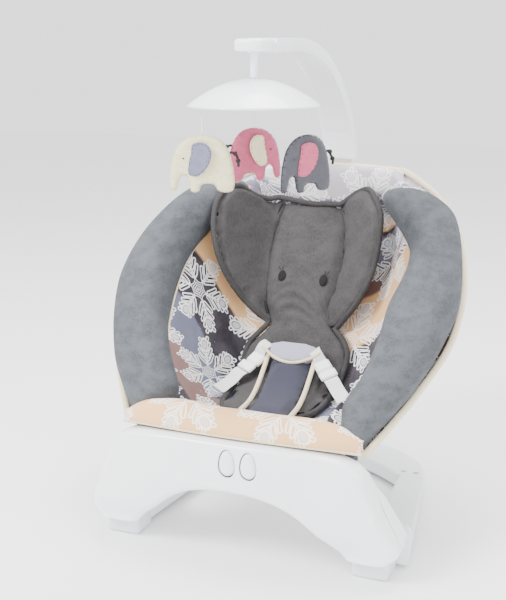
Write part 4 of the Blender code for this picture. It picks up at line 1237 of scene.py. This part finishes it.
def make_top_pad():
    """Puffed print panel between the bolsters at the head end."""
    rows = []
    for t in spread(0, 1, 36):
        s = mix(0.436, 0.5165, t)
        half = mix(0.146, hem_half_width(0.5165) - 0.004, ease((t - 0.2) / 0.8))
        row = []
        for v in spread(-1, 2, 60):
            x = v * half
            low = cloth_n(s, x) + 0.001
            rise = min(max((t - 0.38) * 1.9, 0.0), 1.0)
            crown = 0.026 * math.sin(math.pi / 2 * rise) * math.sqrt(max(1 - t ** 6, 0.0))
            crown *= 1 - abs(v) ** 8
            gather = 0.0020 * math.sin(v * 36.0) * (1 - t) * abs(v) ** 2
            row.append(seat_point(x + sideways(s), s,
                                  mix(low, 0.002, ease((t - 0.38) * 1.7)) + crown + gather
                                  + ripple(x, s, 0.006, 9.0) * (1 - t ** 4)))
        rows.append(row)
    pad = dress(grid("top_pad", rows), LOOKS["top_print"])
    back_up(pad, 0.003)
    modifier(pad, "SUBSURF", levels=1, render_levels=1)
    apply_modifiers(pad)
    assign(pad, "seat", "printed_fabric", "top_bolster", fill=0.7)


LIP_SECTION = ((-0.2438, 0.1876), (-0.2480, 0.1915), (-0.2485, 0.1975), (-0.2440, 0.2065),
               (-0.2350, 0.2140), (-0.2230, 0.2190), (-0.2100, 0.2185), (-0.1980, 0.2110),
               (-0.1880, 0.1985), (-0.1790, 0.1860))
LIP_HALF = 0.176


def lip_point(v, part):
    """Point on the front roll: v runs across it, part over it from the front edge."""
    point = along(LIP_SECTION, part)
    centre = Vector((-0.2130, 0.1880))
    taper = 1.0 - 0.55 * abs(v) ** 6
    at = centre + (point - centre) * taper
    forward = ease((-0.190 - point.x) / 0.045)
    bow = ARCH_BOW * (abs(v) * LIP_HALF / 0.22) ** 2.5
    return Vector((v * LIP_HALF, at.x + bow * forward - 0.004 * abs(v) ** 6,
                   at.y - 0.010 * abs(v) ** 5))


def make_front_lip():
    """Printed roll over the front edge, closed at both corners, piped along its front."""
    rows = []
    for j in range(37):
        row = []
        for v in spread(-1, 2, 80):
            wave = ripple(v * 0.18, j / 36 * 0.08, 0.0045, 12.0) * math.sin(math.pi * j / 36)
            row.append(lip_point(v, j / 36) + Vector((0, 0, wave)))
        rows.append(row)
    lip = dress(grid("front_roll", rows), LOOKS["lip_print"])
    back_up(lip, 0.002, 80 * 18 + 40)      # judged by the face on top of its middle
    apply_modifiers(lip)
    assign(lip, "seat", "peach_fabric", "front_lip", fill=0.7)
    line = [lip_point(v, 0.0) + Vector((0, -0.0008, 0.0016)) for v in spread(-1, 2, 60)]
    piping = tube("lip_piping", line, 0.0024, LOOKS["cream"], resolution=4)
    assign(piping, "seat", "peach_fabric")


# ---------------------------------------------------------------- infant insert
INSERT_CENTRE = ((0.060, -0.010), (0.200, -0.014), (0.262, -0.012), (0.298, -0.028),
                 (0.345, -0.031), (0.440, -0.033), (0.490, -0.036))
INSERT_HALF = ((0.066, 0.055), (0.10, 0.072), (0.16, 0.078), (0.20, 0.082), (0.232, 0.082),
               (0.255, 0.069), (0.274, 0.055), (0.300, 0.056), (0.35, 0.065), (0.41, 0.066),
               (0.446, 0.060), (0.466, 0.053))
EAR_WIDTH = {
    "left": ((0.272, 0.003), (0.278, 0.022), (0.288, 0.040), (0.305, 0.052), (0.33, 0.057),
             (0.37, 0.058), (0.395, 0.055), (0.415, 0.049), (0.430, 0.042), (0.440, 0.034)),
    "right": ((0.274, 0.003), (0.284, 0.026), (0.296, 0.046), (0.315, 0.058), (0.36, 0.062),
              (0.40, 0.062), (0.44, 0.061), (0.468, 0.054), (0.480, 0.046), (0.488, 0.034))}
EAR_LIFT = {"left": 0.85, "right": 0.60}
EAR_RISE = {"left": 0.003, "right": 0.006}
EAR_TOP = {"left": 0.440, "right": 0.488}
EAR_START, HEAD_END = 0.275, 0.468
ROLL = 0.0045              # radius of the insert's rolled edge


def insert_centre(s):
    return smooth(INSERT_CENTRE, s)


def insert_half(s):
    return smooth(INSERT_HALF, s)


def insert_lift(s):
    """Top of the insert's body over the cloth."""
    return 0.007 + mix(0.010, 0.016, ease((s - 0.19) / 0.08))


def ear_lift(side, x, s):
    return EAR_LIFT[side] * max(abs(x - insert_centre(s)) - insert_half(min(s, 0.466)), 0.0)


def ear_inner(s):
    """Inner edge of an ear, tucked under the head's flank."""
    return insert_half(min(s, 0.466)) - 0.011


def ear_outer(side, s):
    return insert_half(min(s, 0.466)) + smooth(EAR_WIDTH[side], s)


def padded_panel(name, rows, look, columns=20, lift=None):
    """Closed pad on the seat. Each row is (s, centre, half width, lift, thickness)."""
    rings = []
    for s, centre, half, base, thickness in rows:
        under, over = [], []
        for i in range(columns + 1):
            v = -1.0 + 2.0 * i / columns
            x = centre + v * half
            raised = base + (lift(x, s) if lift else 0.0)
            crown = thickness * (0.18 + 0.82 * (1.0 - v ** 4))
            under.append(on_seat(x, s, raised))
            over.append(on_seat(x, s, raised + crown))
        rings.append(under + over[::-1])
    return dress(loft(name, rings), look)


def fold_nose(item):
    """Press the soft folds across the trunk into the pad."""
    for vertex in item.data.vertices:
        local = vertex.co - RIM_FRONT
        s = local.y * math.cos(RECLINE) + local.z * math.sin(RECLINE)
        x = vertex.co.x - insert_centre(s)
        fade = math.exp(-((s - 0.300) / 0.030) ** 2) * math.exp(-(x / 0.045) ** 2)
        fold = 0.0022 * math.sin((s + 0.9 * x * x / 0.05 + 0.2 * x) * 2 * math.pi / 0.021)
        crease = noise.noise(Vector((x * 26.0, s * 22.0, 4.0))) * 0.0030
        vertex.co += Vector((0, -math.sin(RECLINE), math.cos(RECLINE))) * (fold * fade + crease)


def make_insert():
    rows = [(s, insert_centre(s), insert_half(s) + 0.0025,
             0.0145 - 0.006 * ease((s - 0.066) / 0.06), insert_lift(s) - 0.007)
            for s in spread(0.0645, 0.4055, 56)]
    body = padded_panel("elephant_panel", rows, LOOKS["insert"])
    plump(body, 0.004, 3.0, 0.0045)
    fold_nose(body)
    assign(body, "seat", "insert_plush", "insert_body", fill=0.6)
    for side, sign in SIDES:
        rows = []
        for s in spread(EAR_START, max(EAR_TOP[side] + 0.004, HEAD_END) - EAR_START, 36):
            inner, outer = ear_inner(s), ear_outer(side, min(s, EAR_TOP[side])) + 0.0045
            outer = mix(outer, inner + 0.012, ease((s - EAR_TOP[side]) / 0.030))
            rows.append((s, insert_centre(s) + sign * (inner + outer) / 2,
                         max((outer - inner) / 2, 0.002), 0.009, 0.012))
        ear = padded_panel("elephant_ear_" + side, rows, LOOKS["insert"], 16,
                           lambda x, s, side=side: ear_lift(side, x, s))
        plump(ear, 0.004, 3.0, 0.004)
        assign(ear, "seat", "insert_plush", "insert_ear_" + side, fill=0.6)
        make_ear_crease_shade(side, sign)
    make_insert_roll()
    make_eyes()


def make_ear_crease_shade(side, sign):
    """Painted shade: a dark plush tube laid in the valley between the head and an ear."""
    seam = []
    for s in spread(0.284, 0.178, 40):
        x = insert_centre(s) + sign * (insert_half(s) - 0.0015)
        seam.append(on_seat(x, s, 0.0195))
    assign(tube("ear_seam_" + side, seam, 0.0016, LOOKS["crease"], resolution=3), "seat",
           "insert_plush")


def insert_edge(side, sign):
    """One side of the insert's edge, from the middle of the bottom to the middle of the head."""
    points = []

    def body(s, offset, lift):
        x = insert_centre(s) + sign * offset
        points.append(on_seat(x, s, lift))

    for i in range(6):
        body(0.066, 0.055 * i / 6, 0.012)
    for s in spread(0.067, 0.205, 43):
        body(s, insert_half(s), insert_lift(s) - 0.007)
    end = EAR_TOP[side] - 0.005
    for s in spread(EAR_START, end - EAR_START, 45):
        x = insert_centre(s) + sign * ear_outer(side, s)
        points.append(on_seat(x, s, 0.0125 + ear_lift(side, x, s)))
    for i in range(1, 13):
        part = i / 12
        s = mix(end, HEAD_END, ease(part)) + EAR_RISE[side] * math.sin(math.pi * part) ** 0.8
        x = insert_centre(s) + sign * mix(ear_outer(side, end), 0.046, part)
        points.append(on_seat(x, s, mix(0.0125, insert_lift(s) + 0.0015, ease(part))
                              + ear_lift(side, x, s)))
    for i in range(1, 9):
        part = i / 8
        body(HEAD_END - 0.002 * ease(part), mix(0.046, 0.0, part), insert_lift(0.47) + 0.0015)
    return points


def make_insert_roll():
    """Rolled plush edge round the whole insert."""
    left, right = insert_edge("left", -1), insert_edge("right", 1)
    loop = right + left[-2:0:-1]
    assign(tube("insert_roll", loop, ROLL, LOOKS["roll"], cyclic=True, resolution=5), "seat",
           "insert_plush")


EYE_S, EYE_LIFT, EYE_SIZE = 0.343, 0.0272, (0.0066, 0.0096, 0.0024)


def make_eyes():
    """Embroidered oval eyes, each with two lashes."""
    for side, sign in SIDES:
        turn = seat_frame(EYE_S).to_4x4()
        x = insert_centre(EYE_S) + sign * 0.035 + 0.004
        place = on_seat(x, EYE_S, EYE_LIFT)
        bm = bmesh.new()
        bmesh.ops.create_uvsphere(bm, u_segments=28, v_segments=18, radius=1.0)
        bmesh.ops.scale(bm, vec=EYE_SIZE, verts=bm.verts)
        eye = dress(link("elephant_eye_" + side, finish_mesh(bm, "eye_" + side)), LOOKS["thread"])
        eye.data.transform(Matrix.Translation(place) @ turn)
        assign(eye, "seat", "insert_plush")
        runs = []
        for offset, lean in ((0.001, 0.0), (0.0045, 0.0035)):
            low = Vector((sign * offset, 0.0094, 0.0008))
            high = low + Vector((sign * lean, 0.0065, 0.0004))
            runs.append([place + turn.to_3x3() @ p for p in (low, low.lerp(high, 0.5), high)])
        assign(stitches("lashes_" + side, runs, 0.0005, LOOKS["thread"]), "seat", "insert_plush")


# ---------------------------------------------------------------- harness
def crotch_lift(s):
    return 0.017 + 0.017 * ease((s - 0.06) / 0.13)


def harness_x(s):
    return smooth(HARNESS_LINE, s)


def make_crotch():
    rows = [(s, harness_x(s), CROTCH_HALF - 0.003, crotch_lift(s), 0.012)
            for s in spread(0.048, 0.160, 28)]
    pad = padded_panel("crotch_panel", rows, LOOKS["slate"], 14)
    plump(pad, 0.003, 2.0, 0.004)
    assign(pad, "seat", "slate_fabric", "crotch_pad", fill=0.5)
    for side, sign in SIDES:
        points = [on_seat(harness_x(s) + sign * CROTCH_HALF, s, crotch_lift(s) + 0.008)
                  for s in spread(0.048, 0.166, 30)]
        assign(tube("crotch_piping_" + side, points, 0.0036, LOOKS["cream"], resolution=5), "seat",
               "slate_fabric")
    rows = [(s, harness_x(s), 0.048 - 4.0 * (s - 0.212) ** 2 * 20, crotch_lift(s) + 0.003, 0.013)
            for s in spread(0.196, 0.032, 12)]
    fold = padded_panel("crotch_fold", rows, LOOKS["lilac"], 18)
    for vertex in fold.data.vertices:
        sag = ((vertex.co.x - harness_x(0.2)) / 0.048) ** 2
        vertex.co += (seat_point(0, 0.006, 0.004) - RIM_FRONT) * (sag - 0.3)
    plump(fold, 0.003, 2.0, 0.0035)
    assign(fold, "seat", "slate_fabric", fill=0.5)
    points = []
    for v in spread(-1, 2, 24):
        s = 0.190 + 0.022 * v * v
        points.append(on_seat(harness_x(s) + 0.047 * v, s, crotch_lift(s) + 0.0150 + 0.002 * v * v))
    assign(tube("fold_piping", points, 0.0024, LOOKS["cream"]), "seat", "slate_fabric")


def strap_point(sign, distance, aside, lift):
    """Point on the line that a waist strap follows outward from the pad's top corner."""
    turn = BUCKLE_TURN[sign]
    reach = distance * math.cos(turn) + aside * math.sin(turn)
    x = harness_x(BUCKLE_S) + sign * (CROTCH_HALF + BUCKLE_GAP[sign] + reach)
    s = BUCKLE_S + 0.012 - distance * math.sin(turn) + aside * math.cos(turn)
    return on_seat(x, s, lift)


WEBBING_THICKNESS = 0.0016


def make_webbing(name, sign, stations, *nodes):
    """Tape along (distance, lift, half width) stations of a strap's line."""
    rings = []
    for distance, lift, half in stations:
        top = lift + WEBBING_THICKNESS
        flat = rounded_ring([(-half, lift), (half, lift), (half, top), (-half, top)], 0.0007, 2)
        rings.append([strap_point(sign, distance, p.x, p.y) for p in flat])
    assign(dress(loft(name, rings), LOOKS["webbing"]), "seat", "webbing", *nodes)


def make_strap(side, sign):
    """Waist webbing from the buckle into the seat's side, and the tape from buckle to pad."""
    stations = [(0.0435 + 0.052 * part,
                 0.036 - 0.020 * ease(part) + 0.001 * math.sin(part * 11), 0.011)
                for part in spread(0, 1, 40)]
    make_webbing("waist_webbing_" + side, sign, stations, "waist_strap_" + side)
    stations = [(mix(-0.022, 0.006, i / 24), 0.040 + 0.010 * math.sin(math.pi * i / 24),
                 0.0105 - 0.002 * math.sin(math.pi * i / 24)) for i in range(25)]
    make_webbing("buckle_tape_" + side, sign, stations)


# ---------------------------------------------------------------- carried-over CAD pieces
CARRIED = {
    "steel": ("spring_wire_left", "spring_wire_right", "rear_screw_left_1", "rear_screw_left_2",
              "rear_screw_right_1", "rear_screw_right_2", "vibration_motor"),
    "brass": ("eccentric_weight",),
    "satin": ("battery_box", "battery_door", "wire_socket_left", "wire_socket_right",
              "mobile_socket", "arm_tongue", "arm_rear_cover", "hook_left", "hook_right",
              "hook_centre",
              "buckle_socket_left", "buckle_socket_right", "buckle_plug_left", "buckle_plug_right"),
    "gloss": ("back_cover", "stem"),
    "foot": ("front_foot_left", "front_foot_right"),
    "rubber": ("rear_foot_left", "rear_foot_right"),
    "board": ("circuit_board",),
    "cell": ("cell_1", "cell_2"),
    "black": ("speaker",),
}


def finish_carried():
    """Give the solids that no visual piece stands for their materials."""
    for look, nodes in CARRIED.items():
        for node in nodes:
            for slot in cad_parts[node].material_slots:
                slot.material = LOOKS[look]


# ---------------------------------------------------------------- assembly
make_camera()
for toy in HOOK_ANGLES:
    make_string(toy)
make_studio()
make_base()
make_dome()
make_mobile_arm()
make_arm_head()
make_toys()
make_bucket()
make_hem()
make_top_pad()
make_front_lip()
make_insert()
make_crotch()
for edge, direction in SIDES:
    make_bolster(edge, direction)
    make_strap(edge, direction)
finish_carried()
